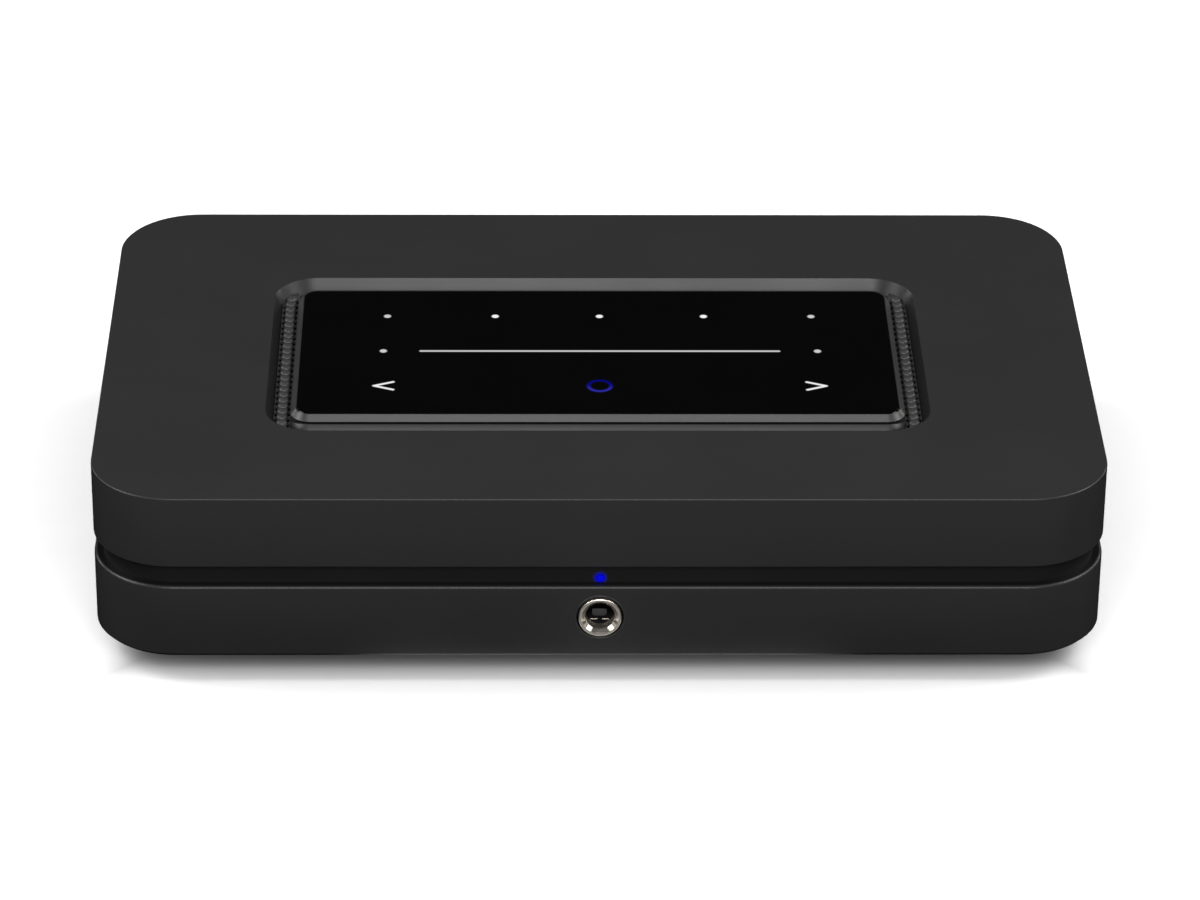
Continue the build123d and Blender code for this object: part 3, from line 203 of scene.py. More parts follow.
class PhonoSettings(bpy.types.PropertyGroup):
    """The phono sockets behind."""
    barrel_radius: length("Barrel radius", "Outer radius of a barrel", 0.00415)
    bore_play: length("Bore play", "Gap between a barrel and its core", 0.00005)
    collar_radius: length("Collar radius", "Radius of the collar over its corners", 0.0052)
    collar_inner: length("Collar inner", "Radius over the corners of the collar's hidden bore", 0.0039)
    collar_proud: length("Collar proud", "How far the collar stands out of the panel", 0.0004)
    collar_sides: count("Collar sides", "Flats of the collar", 6)
    lip_round: length("Lip round", "Rounding of a barrel's lip", 0.00025)
    rim_radius: length("Rim radius", "Outer radius of the contact's rim", 0.0021)
    rim_bore: length("Rim bore", "Inner radius of the contact's rim", 0.00166)
    rim_proud: length("Rim proud", "How far the rim stands out of the core", 0.00012)
    rim_sunk: length("Rim sunk", "How deep the rim is sunk into the core", 0.001)
    turn_steps: count("Turn steps", "Steps round a turned piece", 72)
    crisp_angle: angle("Crisp angle", "Edges that turn more stay crisp", math.radians(35))


class LightSettings(bpy.types.PropertyGroup):
    """The status light in the groove."""
    glow: colour("Glow", "Colour of the light", 0.0, 0.002, 1.0)
    pipe_radius: length("Pipe radius", "Radius of the pipe's round end", 0.00095)
    pipe_reach: length("Pipe reach", "Length of the pipe that is lit", 0.004)
    core: length("Core", "Radius of the bright middle", 0.0004)
    rim: length("Rim", "Radius at which the middle has faded", 0.0013)
    rim_level: share("Rim level", "Light that is left at the rim", 0.12)
    # The halo is painted glow: light that the groove's band emits round the pipe.
    halo_core: length("Halo core", "Radius of the full halo on the band", 0.0006)
    halo_rim: length("Halo rim", "Radius at which the halo ends", 0.0021)
    halo_depth: length("Halo depth", "Depth of the full halo behind the pipe's front", 0.002)


class SignSettings(bpy.types.PropertyGroup):
    """The lit signs on the glass, from the middle of the pocket."""
    middle: place("Middle", "Middle of the signs", 0.0, -0.0056)
    back_row: length("Back row", "Distance of the back row of dots", 0.0169)
    front_row: length("Front row", "Distance of the arrows and the ring", 0.0165)
    dot_shift: length("Dot shift", "How far the dots sit to the right", 0.00095)
    arrow_shift: length("Arrow shift", "How far the arrows sit to the right", 0.0006)
    inner_dot: length("Inner dot", "Distance of the inner dots", 0.0237)
    outer_dot: length("Outer dot", "Distance of the outer dots", 0.0482)
    side_dot: length("Side dot", "Distance of the dots beside the line", 0.0488)
    dot_radius: length("Dot radius", "Radius of a dot", 0.00078)
    line_start: length("Line start", "Left end of the line", -0.0394)
    line_end: length("Line end", "Right end of the line", 0.0410)
    stroke: length("Stroke", "Half the width of a stroke", 0.00034)
    arrow_tip: length("Arrow tip", "Distance of an arrow's tip", 0.0502)
    arrow_tail: length("Arrow tail", "Distance of an arrow's tails", 0.0460)
    arrow_half: length("Arrow half", "Half an arrow's height", 0.0018)
    ring_middle: length("Ring middle", "Middle of the ring", 0.0005)
    ring_radius: length("Ring radius", "Radius of the ring", 0.0025)
    soft: length("Soft", "Softness of a sign's edge", 0.00022)
    fade: length("Fade", "Length over which bright signs turn to soft ones", 0.001)
    depth: length("Depth", "Depth of the lit layer under the glass's face", 0.0003)


class StageSettings(bpy.types.PropertyGroup):
    """Camera, floor and lamps. Every lamp but the front one stands on both sides."""
    camera_place: place("Camera place", "Where the camera stands", -0.02066, -1.01996, 0.58213)
    pitch: angle("Pitch", "How far the camera looks down", 0.5055)
    yaw: angle("Yaw", "How far the camera turns to the right", 0.0214)
    roll: angle("Roll", "How far the camera leans", 0.0106)
    lens: FloatProperty(name="Lens", description="Focal length in millimetres", default=153.13)
    floor_half: length("Floor half", "Half the floor's side", 3.0)
    paper_dark: colour("Paper dark", "Darkest tone of the floor", 0.87)
    paper_light: colour("Paper light", "Lightest tone of the floor", 0.89)
    # Painted shadow: the floor's tone under the object, and where it starts and ends.
    painted_shadow_tone: colour("Paper under", "Tone of the floor under the object", 0.37)
    painted_shadow_start: length("Under start", "Where the tone under the object starts", 0.0005)
    painted_shadow_end: length("Under end", "Where the tone under the object is full", 0.011)
    bounce: colour("Bounce", "Tone of the floor as the object's faces are lit by it", 0.06)
    # Painted reflections: tones and extents of the floor that only reflections see.
    mirror_patch: colour("Mirror patch", "Tone of the patch that shows in the plated ring", 0.85)
    mirror_ahead: colour("Mirror ahead", "Tone of the floor ahead in reflections", 0.16)
    patch_half: length("Patch half", "Half the width of the patch before the housing", 0.04)
    patch_side: length("Patch side", "Width of the patch's soft sides", 0.02)
    patch_front: length("Patch front", "Front of the patch", -0.079)
    patch_soft: length("Patch soft", "Width of the patch's soft front", 0.005)
    strip_half: length("Strip half", "Half the width of the strip before the patch", 0.005)
    strip_side: length("Strip side", "Width of the strip's soft sides", 0.003)
    strip_front: length("Strip front", "Front of the strip", -0.11)
    strip_soft: length("Strip soft", "Width of the strip's soft front", 0.01)
    strip_share: share("Strip share", "How bright the strip is beside the patch", 0.2)
    ahead_start: length("Ahead start", "Where the floor ahead starts to show", -0.09)
    ahead_end: length("Ahead end", "Where the floor ahead shows fully", -0.15)
    backdrop: colour("Backdrop", "Backdrop as the camera sees it", 1.0)
    world_light: colour("World light", "Light from all round", 0.3)
    world_gloss: colour("World gloss", "Backdrop in reflections", 0.015)
    target: place("Target", "Where the lamps point", 0.0, 0.0, 0.03)
    front_place: place("Front place", "Where the front softbox stands", 0.0, -1.4, 1.0)
    front_size: place("Front size", "Width and height of the front softbox", 1.1, 0.95)
    front_power: power("Front power", "Power of the front softbox", 21.5)
    softbox_place: place("Softbox place", "Where the right softbox stands", 1.1, 0.1, 1.1)
    softbox_size: place("Softbox size", "Width and height of a side softbox", 0.8, 0.8)
    softbox_power: power("Softbox power", "Power of a side softbox", 15.0)
    low_place: place("Low place", "Where the right low lamp stands", 1.3, -0.45, 0.72)
    low_size: place("Low size", "Width and height of a low lamp", 0.7, 0.7)
    low_power: power("Low power", "Power of a low lamp", 4.0)
    dim_place: place("Dim place", "Where the right dim lamp stands", 1.35, -0.4, 0.14)
    dim_size: place("Dim size", "Width and height of a dim lamp", 0.7, 0.24)
    dim_power: power("Dim power", "Power of a dim lamp", 0.25)
    back_place: place("Back place", "Where the right back lamp stands", 1.4, 0.9, 0.25)
    back_size: place("Back size", "Width and height of a back lamp", 0.5, 0.4)
    back_power: power("Back power", "Power of a back lamp", 3.0)


# Arithmetic and nodes for materials

class Term:
    """A shader output that takes part in sums like a number."""

    def __init__(self, graph, socket):
        self.graph = graph
        self.socket = socket

    def math(self, operation, *values):
        node = self.graph.add("ShaderNodeMath", {"operation": operation}, dict(enumerate(values)))
        return Term(self.graph, node.outputs[0])

    def __add__(self, other):
        return self.math("ADD", self, other)

    def __radd__(self, other):
        return self.math("ADD", other, self)

    def __sub__(self, other):
        return self.math("SUBTRACT", self, other)

    def __rsub__(self, other):
        return self.math("SUBTRACT", other, self)

    def __mul__(self, other):
        return self.math("MULTIPLY", self, other)

    def __rmul__(self, other):
        return self.math("MULTIPLY", other, self)

    def __truediv__(self, other):
        return self.math("DIVIDE", self, other)

    def __rtruediv__(self, other):
        return self.math("DIVIDE", other, self)

    def __abs__(self):
        return self.math("ABSOLUTE", self)

    def least(self, other):
        return self.math("MINIMUM", self, other)

    def most(self, other):
        return self.math("MAXIMUM", self, other)

    def sine(self):
        return self.math("SINE", self)

    def root(self):
        return self.math("SQRT", self)


class Graph:
    """The node tree of one material or of the world, started empty."""

    def __init__(self, tree):
        self.tree = tree
        tree.nodes.clear()

    def add(self, kind, settings=None, values=None):
        """One node: its settings first, then a value or a link for each named socket."""
        node = self.tree.nodes.new(kind)
        for name, setting in (settings or {}).items():
            setattr(node, name, setting)
        for key, value in (values or {}).items():
            if isinstance(value, Term):
                self.tree.links.new(value.socket, node.inputs[key])
            else:
                node.inputs[key].default_value = value
        return node

    def place(self):
        return Term(self, self.add("ShaderNodeTexCoord").outputs["Object"])

    def axes(self):
        split = self.add("ShaderNodeSeparateXYZ", None, {0: self.place()})
        return [Term(self, output) for output in split.outputs]

    def noise(self, size, detail=2.0, stretch=(1.0, 1.0, 1.0)):
        """Noise from 0 to 1 whose features are about size metres across."""
        mapped = self.add("ShaderNodeMapping", None, {"Vector": self.place(), "Scale": stretch})
        values = {"Vector": Term(self, mapped.outputs[0]), "Scale": 1.0 / size, "Detail": detail}
        return Term(self, self.add("ShaderNodeTexNoise", None, values).outputs[0])

    def cells(self, size):
        """Distance to the nearest of many scattered points, as a share of size."""
        values = {"Vector": self.place(), "Scale": 1.0 / size}
        return Term(self, self.add("ShaderNodeTexVoronoi", None, values).outputs["Distance"])

    def ramp(self, value, low, high, start=0.0, end=1.0):
        """start up to low, end from high on, and smooth between."""
        values = {"Value": value, "From Min": low, "From Max": high, "To Min": start, "To Max": end}
        node = self.add("ShaderNodeMapRange", {"interpolation_type": "SMOOTHSTEP"}, values)
        return Term(self, node.outputs[0])

    def between(self, value, low, high, soft):
        """1 from low to high, fading to 0 over soft beyond them."""
        return self.ramp(value, low - soft, low) * self.ramp(value, high + soft, high)

    def blend(self, mix, first, second):
        """Colour between first and second."""
        node = self.add("ShaderNodeMix", {"data_type": "RGBA"}, {0: mix, 6: first, 7: second})
        return Term(self, node.outputs[2])

    def relief(self, height, depth):
        """Normal of a surface whose height runs from 0 to 1 over depth metres."""
        values = {"Height": height, "Distance": depth}
        return Term(self, self.add("ShaderNodeBump", None, values).outputs[0])

    def rays(self):
        """Whether the camera sees a point, and whether a reflection does."""
        path = self.add("ShaderNodeLightPath")
        return [Term(self, path.outputs[name]) for name in ("Is Camera Ray", "Is Glossy Ray")]


def grey(value):
    return (value, value, value, 1.0)


def waves(value, spacing):
    """Waves from -1 to 1, spacing metres apart."""
    return (value * (math.tau / spacing)).sine()


def material(name, recipe, *settings):
    """A material from a recipe, which returns what feeds the shader's sockets."""
    made = bpy.data.materials.new(name)
    made.use_nodes = True
    graph = Graph(made.node_tree)
    shader = graph.add("ShaderNodeBsdfPrincipled", None, recipe(graph, *settings))
    graph.add("ShaderNodeOutputMaterial", None, {"Surface": Term(graph, shader.outputs[0])})
    return made


def moulded(graph, dark, light, rough, grain, depth, constants):
    """Moulded or painted surface: fine grain, a slow drift of gloss and tone, and faint wipe marks."""
    fine = graph.noise(grain, 3.0)
    broad = graph.noise(0.035, 2.0)
    wipes = graph.noise(0.004, 2.0, (0.15, 1.0, 1.0))
    feeds = {
        "Base Color": graph.blend(fine * 0.6 + broad * 0.4, dark, light),
        "Roughness": graph.ramp(broad * 0.7 + wipes * 0.3, 0.3, 0.7, rough - 0.03, rough + 0.04),
        "Normal": graph.relief(fine, depth),
    }
    feeds.update(constants)
    return feeds


def brushed(graph, dark, light, rough, stretch, depth, constants):
    """Metal with fine parallel marks and slight staining."""
    marks = graph.noise(0.0004, 3.0, stretch)
    stain = graph.noise(0.006, 3.0)
    feeds = {
        "Base Color": graph.blend(marks * 0.5 + stain * 0.5, dark, light),
        "Roughness": graph.ramp(marks * 0.6 + stain * 0.4, 0.3, 0.7, rough - 0.06, rough + 0.08),
        "Normal": graph.relief(marks, depth),
        "Metallic": 1.0,
    }
    feeds.update(constants)
    return feeds


def board(graph, mask, trace, pad):
    """Circuit board: solder mask over fine tracks, with tinned pads."""
    x, y, z = graph.axes()
    drift = graph.noise(0.012, 2.0)
    along = waves(x + drift * 0.02, 0.001496)
    across = waves(y + drift * 0.02, 0.001745)
    choose = graph.ramp(graph.noise(0.02, 1.0), 0.48, 0.52)
    track = graph.ramp(along * choose + across * (1.0 - choose), 0.55, 0.75)
    dots = graph.ramp(graph.cells(0.0045), 0.16, 0.12)
    tone = graph.blend(track, mask, trace)
    return {
        "Base Color": graph.blend(dots, tone, pad),
        "Metallic": dots,
        "Roughness": graph.ramp(dots, 0.0, 1.0, 0.38, 0.3),
        "Normal": graph.relief(track * 0.6 + dots * 0.4, 0.00005),
        "Coat Weight": 0.3,
    }


def film(graph, dark, light):
    """Ribbon: amber film with copper lines along it."""
    x, y, z = graph.axes()
    lines = graph.ramp(waves(x, 0.001), 0.0, 0.4)
    return {
        "Base Color": graph.blend(lines, dark, light),
        "Roughness": graph.ramp(graph.noise(0.004, 2.0), 0.3, 0.7, 0.3, 0.45),
        "Normal": graph.relief(lines, 0.00003),
    }


def sleeve(graph, dark, light, mark):
    """Shrunk sleeve of a capacitor: glossy, with a pale stripe down the side."""
    x, y, z = graph.axes()
    wrinkle = graph.noise(0.002, 3.0, (1.0, 1.0, 0.2))
    stripe = graph.ramp(waves(x, 0.00698) + waves(y, 0.01795), 1.5, 1.56)
    tone = graph.blend(wrinkle, dark, light)
    return {
        "Base Color": graph.blend(stripe * 0.6, tone, mark),
        "Roughness": graph.ramp(wrinkle, 0.3, 0.7, 0.25, 0.36),
        "Normal": graph.relief(wrinkle, 0.00006),
        "Coat Weight": 0.25,
    }


def taped(graph, dark, light):
    """Winding under tape: turns show through as fine level ridges."""
    x, y, z = graph.axes()
    turns = waves(z, 0.000698) * 0.5 + 0.5
    crease = graph.noise(0.003, 3.0, (0.3, 0.3, 1.0))
    return {
        "Base Color": graph.blend(turns * 0.4 + crease * 0.6, dark, light),
        "Roughness": graph.ramp(crease, 0.3, 0.7, 0.3, 0.5),
        "Normal": graph.relief(turns * 0.7 + crease * 0.3, 0.00012),
    }


def clear(graph, tint):
    """Clear moulding, slightly clouded, with flow marks."""
    cloud = graph.noise(0.008, 2.0)
    return {
        "Base Color": graph.blend(cloud, tint, grey(0.9)),
        "Roughness": graph.ramp(cloud, 0.3, 0.7, 0.08, 0.2),
        "Normal": graph.relief(graph.noise(0.002, 2.0), 0.00003),
        "Transmission Weight": 0.7,
        "IOR": 1.49,
    }


def from_pipe(x, z):
    """Distance from the axis of the status light pipe."""
    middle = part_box("status_light_pipe")[1].z - bpy.context.scene.streamer_light.pipe_radius
    return (x * x + (z - middle) * (z - middle)).root()


def lit_pipe(graph, body, deep):
    """Light pipe: clear, and bright blue at the end that shows in the groove."""
    light = bpy.context.scene.streamer_light
    x, y, z = graph.axes()
    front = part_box("status_light_pipe")[0].y
    end = graph.ramp(y, front + light.pipe_reach, front + light.pipe_reach * 0.4)
    core = graph.ramp(from_pipe(x, z), light.rim, light.core)
    level = core * (1.0 - light.rim_level) + light.rim_level
    return {
        "Base Color": graph.blend(end, body, deep),
        "Roughness": graph.ramp(graph.noise(0.001, 2.0), 0.3, 0.7, 0.2, 0.35),
        "Normal": graph.relief(graph.noise(0.0006, 2.0), 0.00002),
        "Emission Color": graph.blend(end * level, grey(0.0), light.glow),
        "Emission Strength": 0.68,
        "Specular IOR Level": 0.1,
    }


def shell(graph, dark, light, rough, grain, depth, constants):
    """Housing plastic with painted shade: the ledge of the groove and the side walls of the pocket are
    coloured dark, where shade falls.
    """
    casing = bpy.context.scene.streamer_casing
    soft = casing.shade_soft
    x, y, z = graph.axes()
    ledge_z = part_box("lower_shell")[1].z
    top_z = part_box("upper_shell")[1].z
    low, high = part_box("vent_grille_right")
    middle_y = (low.y + high.y) / 2
    half_y = (high.y - low.y) / 2
    # Painted shade on the ledge under the upper shell and on the pocket's side walls.
    ledge = graph.between(z, ledge_z - soft * 0.2, ledge_z + soft, soft)
    wall = graph.between(abs(x), high.x, high.x + casing.wall_width, soft * 2.0)
    wall = wall * graph.between(z, low.z, top_z - soft, soft * 0.8)
    wall = wall * graph.ramp(abs(y - middle_y), half_y, half_y - casing.wall_end)
    painted_shade = (ledge * casing.ledge_shade).most(wall * casing.wall_shade)
    feeds = moulded(graph, dark, light, rough, grain, depth, constants)
    feeds["Base Color"] = graph.blend(painted_shade, feeds["Base Color"], grey(0.0))
    return feeds


def gap_shaded(graph, dark, light, rough, grain, depth, constants):
    """Plastic or metal with painted shade: black and rough in the gap round the touch module."""
    casing = bpy.context.scene.streamer_casing
    low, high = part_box(casing.seat_node)
    x, y, z = graph.axes()
    across = (abs(x - (low.x + high.x) / 2) - (high.x - low.x) / 2 + casing.seat_radius).most(0.0)
    along = (abs(y - (low.y + high.y) / 2) - (high.y - low.y) / 2 + casing.seat_radius).most(0.0)
    out = (across * across + along * along).root() - casing.seat_radius
    # Painted shade: the gap under the bezel's edge is coloured black.
    gap = graph.ramp(out, casing.seat_slide, casing.seat_slide * 0.5)
    gap = gap * graph.ramp(z, low.z + casing.foot_height * 1.05, low.z + casing.foot_height * 0.95)
    feeds = moulded(graph, dark, light, rough, grain, depth, constants)
    feeds["Base Color"] = graph.blend(gap, feeds["Base Color"], grey(0.0))
    feeds["Roughness"] = gap.most(feeds["Roughness"])
    return feeds


def haloed(graph, dark, light, rough):
    """Band of the groove: near-black matt moulding, its tone partly painted shade of the groove, with a
    painted glow round the status light.
    """
    status = bpy.context.scene.streamer_light
    x, y, z = graph.axes()
    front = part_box("status_light_pipe")[0].y
    # Painted glow: the band emits the status light's blue round the pipe's end.
    near = graph.ramp(from_pipe(x, z), status.halo_rim, status.halo_core)
    near = near * graph.ramp(y, front + status.halo_depth * 2.0, front + status.halo_depth)
    feeds = moulded(graph, dark, light, rough, 0.0002, 0.000012, {"Specular IOR Level": 0.3})
    feeds["Emission Color"] = graph.blend(near * near, grey(0.0), status.glow)
    feeds["Emission Strength"] = 0.5
    return feeds


def signed_glass(graph, signs, tones):
    """Black glass with lit signs: dots, a line, two arrows and a blue ring."""
    x, y, z = graph.axes()
    x = x - signs.middle[0]
    y = y - signs.middle[1]
    side = abs(x - signs.dot_shift)
    arrow_side = abs(x - signs.arrow_shift)

    def distance(across, along):
        return (across * across + along * along).root()

    def disc(at_x, at_y):
        return distance(side - at_x, y - at_y) - signs.dot_radius

    def stroke(from_x, from_y, to_x, to_y, level_x):
        run_x, run_y = to_x - from_x, to_y - from_y
        run = run_x * run_x + run_y * run_y
        part = ((level_x - from_x) * run_x + (y - from_y) * run_y) / run
        part = part.most(0.0).least(1.0)
        return distance(level_x - from_x - part * run_x, y - from_y - part * run_y) - signs.stroke

    shapes = [disc(0.0, signs.back_row), disc(signs.inner_dot, signs.back_row),
              disc(signs.outer_dot, signs.back_row), disc(signs.side_dot, 0.0),
              stroke(signs.line_start, 0.0, signs.line_end, 0.0, x)]
    for half in (-signs.arrow_half, signs.arrow_half):
        shapes.append(stroke(signs.arrow_tip, -signs.front_row, signs.arrow_tail, half - signs.front_row,
                             arrow_side))
    nearest = shapes[0]
    for shape in shapes[1:]:
        nearest = nearest.least(shape)
    white = graph.ramp(nearest, signs.soft, -signs.soft)
    ring = abs(distance(x - signs.ring_middle, y + signs.front_row) - signs.ring_radius) - signs.stroke
    blue = graph.ramp(ring, signs.soft * 1.5, -signs.soft)
    near_share = graph.ramp(y + signs.front_row, signs.ring_radius * 0.4, signs.ring_radius * -0.8)
    ring_tone = graph.blend(near_share, tones.ring_far, tones.ring_near)
    smear = graph.noise(0.02, 3.0)
    face_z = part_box("touch_glass")[1].z
    top = graph.ramp(z, face_z - signs.depth * 2.0, face_z - signs.depth)
    outer = graph.ramp(side, signs.inner_dot * 1.4, signs.inner_dot * 1.8)
    outer = outer * graph.ramp(y, signs.fade * -4.0, -signs.fade)
    bar = graph.ramp(abs(y), signs.fade * 3.0, signs.fade * 2.0)
    bar = bar * graph.ramp(side, signs.line_end, signs.line_end - signs.fade)
    bright = graph.blend(outer.most(bar), tones.sign_bright, tones.sign_soft)
    lit = graph.blend(blue, graph.blend(white, grey(0.0), bright), ring_tone)
    return {
        "Base Color": graph.blend(smear, tones.glass_dark, tones.glass_light),
        "Roughness": graph.ramp(smear, 0.35, 0.75, 0.03, 0.08),
        "Normal": graph.relief(graph.noise(0.01, 1.0), 0.000002),
        "Emission Color": graph.blend(top, grey(0.0), lit),
        "Emission Strength": 1.15,
        "Specular IOR Level": 0.25,
        "Coat Weight": 0.0,
    }


def plated(graph, dark, light, rough, centre):
    """Plated metal: turning marks round its axis and a warm drift of tone."""
    x, y, z = graph.axes()
    off = ((x - centre[0]) * (x - centre[0]) + (z - centre[1]) * (z - centre[1])).root()
    marks = waves(off + y * 0.6, 0.00012083) * 0.5 + 0.5
    drift = graph.noise(0.0025, 2.0)
    return {
        "Base Color": graph.blend(drift, dark, light),
        "Roughness": graph.ramp(drift * 0.6 + marks * 0.4, 0.2, 0.8, rough, rough + 0.1),
        "Normal": graph.relief(marks, 0.0000015),
        "Metallic": 0.9,
    }


def fins(graph):
    """Natural aluminium with extrusion lines along the fins."""
    return brushed(graph, grey(0.5), grey(0.66), 0.38, (1.0, 0.04, 1.0), 0.00002, {})


def paper(graph, stage):
    """Floor: white to the camera with a painted shadow under the object; to reflections it shows painted
    reflections only where the plated ring and the faces want them.
    """
    seen, gloss = graph.rays()
    grain = graph.noise(0.01, 2.0)
    x, y, z = graph.axes()
    # Painted reflections: a bright patch before the housing, a strip before it and the floor further ahead,
    # seen only in reflections, for the plated ring and the front faces.
    patch = graph.ramp(abs(x), stage.patch_half + stage.patch_side, stage.patch_half)
    patch = patch * graph.ramp(y, stage.patch_front - stage.patch_soft, stage.patch_front)
    strip = graph.ramp(abs(x), stage.strip_half + stage.strip_side, stage.strip_half)
    strip = strip * graph.ramp(y, stage.strip_front - stage.strip_soft, stage.strip_front)
    ahead = graph.ramp(y, stage.ahead_start, stage.ahead_end)
    far = graph.blend(ahead, grey(0.0), stage.mirror_ahead)
    mirrored = graph.blend(patch.most(strip * stage.strip_share), far, stage.mirror_patch)
    # Painted shadow: the floor's colour, as the camera sees it, darkens under the housing's footprint.
    low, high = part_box("lower_shell")
    inside = (high.x - abs(x)).least((high.y - low.y) / 2 - abs(y - (low.y + high.y) / 2))
    under = graph.ramp(inside, stage.painted_shadow_start, stage.painted_shadow_end)
    near = graph.blend(under, graph.blend(grain, stage.paper_dark, stage.paper_light), stage.painted_shadow_tone)
    return {
        "Base Color": graph.blend(seen, graph.blend(gloss, stage.bounce, mirrored), near),
        "Roughness": graph.ramp(grain, 0.3, 0.7, 0.85, 0.95),
        "Specular IOR Level": 0.0,
    }


SATIN = {"Specular IOR Level": 0.5}
DULL = {"Specular IOR Level": 0.35}


def finishes():
    """A recipe and its settings for every material slot of the record."""
    scene = bpy.context.scene
    tones = scene.streamer_finishes
    low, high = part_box("headphone_ring")
    ring_middle = ((low.x + high.x) / 2, (low.z + high.z) / 2)
    return {
        # The housing carries painted shade on the groove's ledge and on the pocket's side walls.
        "housing_plastic": (shell, tones.housing_dark, tones.housing_light, 0.36, 0.00022, 0.0000045, DULL),
        "frame_plastic": (haloed, tones.band_dark, tones.band_light, 0.55),
        "foot_rubber": (moulded, grey(0.012), grey(0.02), 0.75, 0.0003, 0.00003, DULL),
        "black_screw": (brushed, grey(0.03), grey(0.05), 0.4, (1.0, 1.0, 1.0), 0.00001, {}),
        "steel_screw": (brushed, grey(0.5), grey(0.62), 0.28, (1.0, 1.0, 0.2), 0.00001, {}),
        # Tray and bezel carry painted shade: black in the gap round the touch module.
        "tray_plastic": (gap_shaded, tones.tray_dark, tones.tray_light, 0.4, 0.00025, 0.000006, DULL),
        "grille_plastic": (moulded, tones.grille_dark, tones.grille_light, 0.4, 0.00025, 0.000004, SATIN),
        "bezel_metal": (gap_shaded, tones.bezel_dark, tones.bezel_light, 0.34, 0.0002, 0.000003, SATIN),
        "black_glass": (signed_glass, scene.streamer_signs, tones),
        "clear_plastic": (clear, (0.75, 0.8, 0.85, 1.0)),
        "circuit_board": (board, (0.008, 0.06, 0.028, 1.0), (0.02, 0.12, 0.05, 1.0), (0.6, 0.6, 0.58, 1.0)),
        "ribbon_film": (film, (0.28, 0.13, 0.03, 1.0), (0.55, 0.3, 0.08, 1.0)),
        "light_pipe": (lit_pipe, (0.01, 0.012, 0.3, 1.0), (0.0, 0.0, 0.05, 1.0)),
        "nickel": (plated, tones.nickel_dark, tones.nickel_light, 0.09, ring_middle),
        "socket_plastic": (moulded, grey(0.008), grey(0.012), 0.48, 0.00025, 0.000008, DULL),
        "contact_metal": (brushed, (0.6, 0.42, 0.14, 1.0), (0.75, 0.56, 0.22, 1.0), 0.24,
                          (1.0, 0.1, 1.0), 0.000006, {}),
        "sink_aluminium": (fins,),
        "screen_metal": (brushed, grey(0.42), grey(0.56), 0.3, (0.2, 1.0, 1.0), 0.000008, {}),
        "panel_plastic": (moulded, grey(0.012), grey(0.016), 0.5, 0.0003, 0.00001, DULL),
        "white_core": (moulded, grey(0.68), grey(0.78), 0.4, 0.0003, 0.000008, SATIN),
        "red_core": (moulded, (0.42, 0.01, 0.01, 1.0), (0.52, 0.02, 0.015, 1.0), 0.4, 0.0003, 0.000008,
                     SATIN),
        "orange_core": (moulded, (0.62, 0.15, 0.01, 1.0), (0.75, 0.21, 0.02, 1.0), 0.4, 0.0003, 0.000008,
                        SATIN),
        "shutter_plastic": (moulded, grey(0.02), grey(0.03), 0.45, 0.0003, 0.000008, SATIN),
        "ferrite": (moulded, grey(0.028), grey(0.045), 0.6, 0.0004, 0.00003, DULL),
        "winding_tape": (taped, (0.45, 0.3, 0.03, 1.0), (0.68, 0.48, 0.07, 1.0)),
        "can_sleeve": (sleeve, (0.008, 0.009, 0.014, 1.0), (0.014, 0.016, 0.022, 1.0), grey(0.55)),
    }


def finish_of(slot):
    """The material of one slot, made once."""
    name = "finish_" + slot
    if name not in bpy.data.materials:
        recipe, *settings = finishes()[slot]
        material(name, recipe, *settings)
    return bpy.data.materials[name]


# Meshes

def piece(name, bm, slot, body, *replaced):
    """Hang a finished mesh on its body, in its finish."""
    bmesh.ops.recalc_face_normals(bm, faces=bm.faces)
    mesh = bpy.data.meshes.new(name)
    bm.to_mesh(mesh)
    bm.free()
    made = bpy.data.objects.new(name, mesh)
    bpy.context.scene.collection.objects.link(made)
    mesh.materials.append(finish_of(slot))
    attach(made, body)
    if replaced:
        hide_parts(*replaced)
    return made


def shade(made, angle, weighted):
    """Smooth shading that breaks at edges which turn more than angle."""
    mesh = made.data
    mesh.shade_smooth()
    bm = bmesh.new()
    bm.from_mesh(mesh)
    for edge in bm.edges:
        edge.smooth = len(edge.link_faces) == 2 and edge.calc_face_angle(math.pi) < angle
    bm.to_mesh(mesh)
    bm.free()
    if weighted:
        modifier = made.modifiers.new("even_faces", "WEIGHTED_NORMAL")
        modifier.keep_sharp = True


def copy_of(node):
    """The mesh of a CAD node with its split vertices joined again, ready to work on."""
    bm = bmesh.new()
    bm.from_mesh(frame["nodes"][node].data)
    bmesh.ops.remove_doubles(bm, verts=bm.verts, dist=MERGE_GAP)
    bmesh.ops.dissolve_limit(bm, angle_limit=FLAT_TURN, verts=bm.verts, edges=bm.edges)
    return bm


def turned(bm, profile, centre, steps):
    """A ring turned from a closed profile of (radius, depth) about the Y axis through centre."""
    corners = [bm.verts.new(centre + Vector((radius, depth, 0.0))) for radius, depth in profile]
    loop = [bm.edges.new((corners[index - 1], corners[index])) for index in range(len(corners))]
    bmesh.ops.spin(bm, geom=corners + loop, cent=centre, axis=(0.0, 1.0, 0.0), angle=math.tau, steps=steps,
                   use_merge=True, use_duplicate=False)
    bmesh.ops.remove_doubles(bm, verts=bm.verts, dist=MERGE_GAP)


# Operators

class STREAMER_OT_finishes(bpy.types.Operator):
    """Give every CAD node its procedural material"""
    bl_idname = "streamer.finishes"
    bl_label = "CAD finishes"

    def execute(self, context):
        slots = {row["node"]: row["material_slot"] for row in frame["record"]["subparts"]}
        for node, cad in frame["nodes"].items():
            if not cad.material_slots:
                raise RuntimeError(node + " has no material slot")
            for holder in cad.material_slots:
                holder.material = finish_of(slots[node])
        return {"FINISHED"}


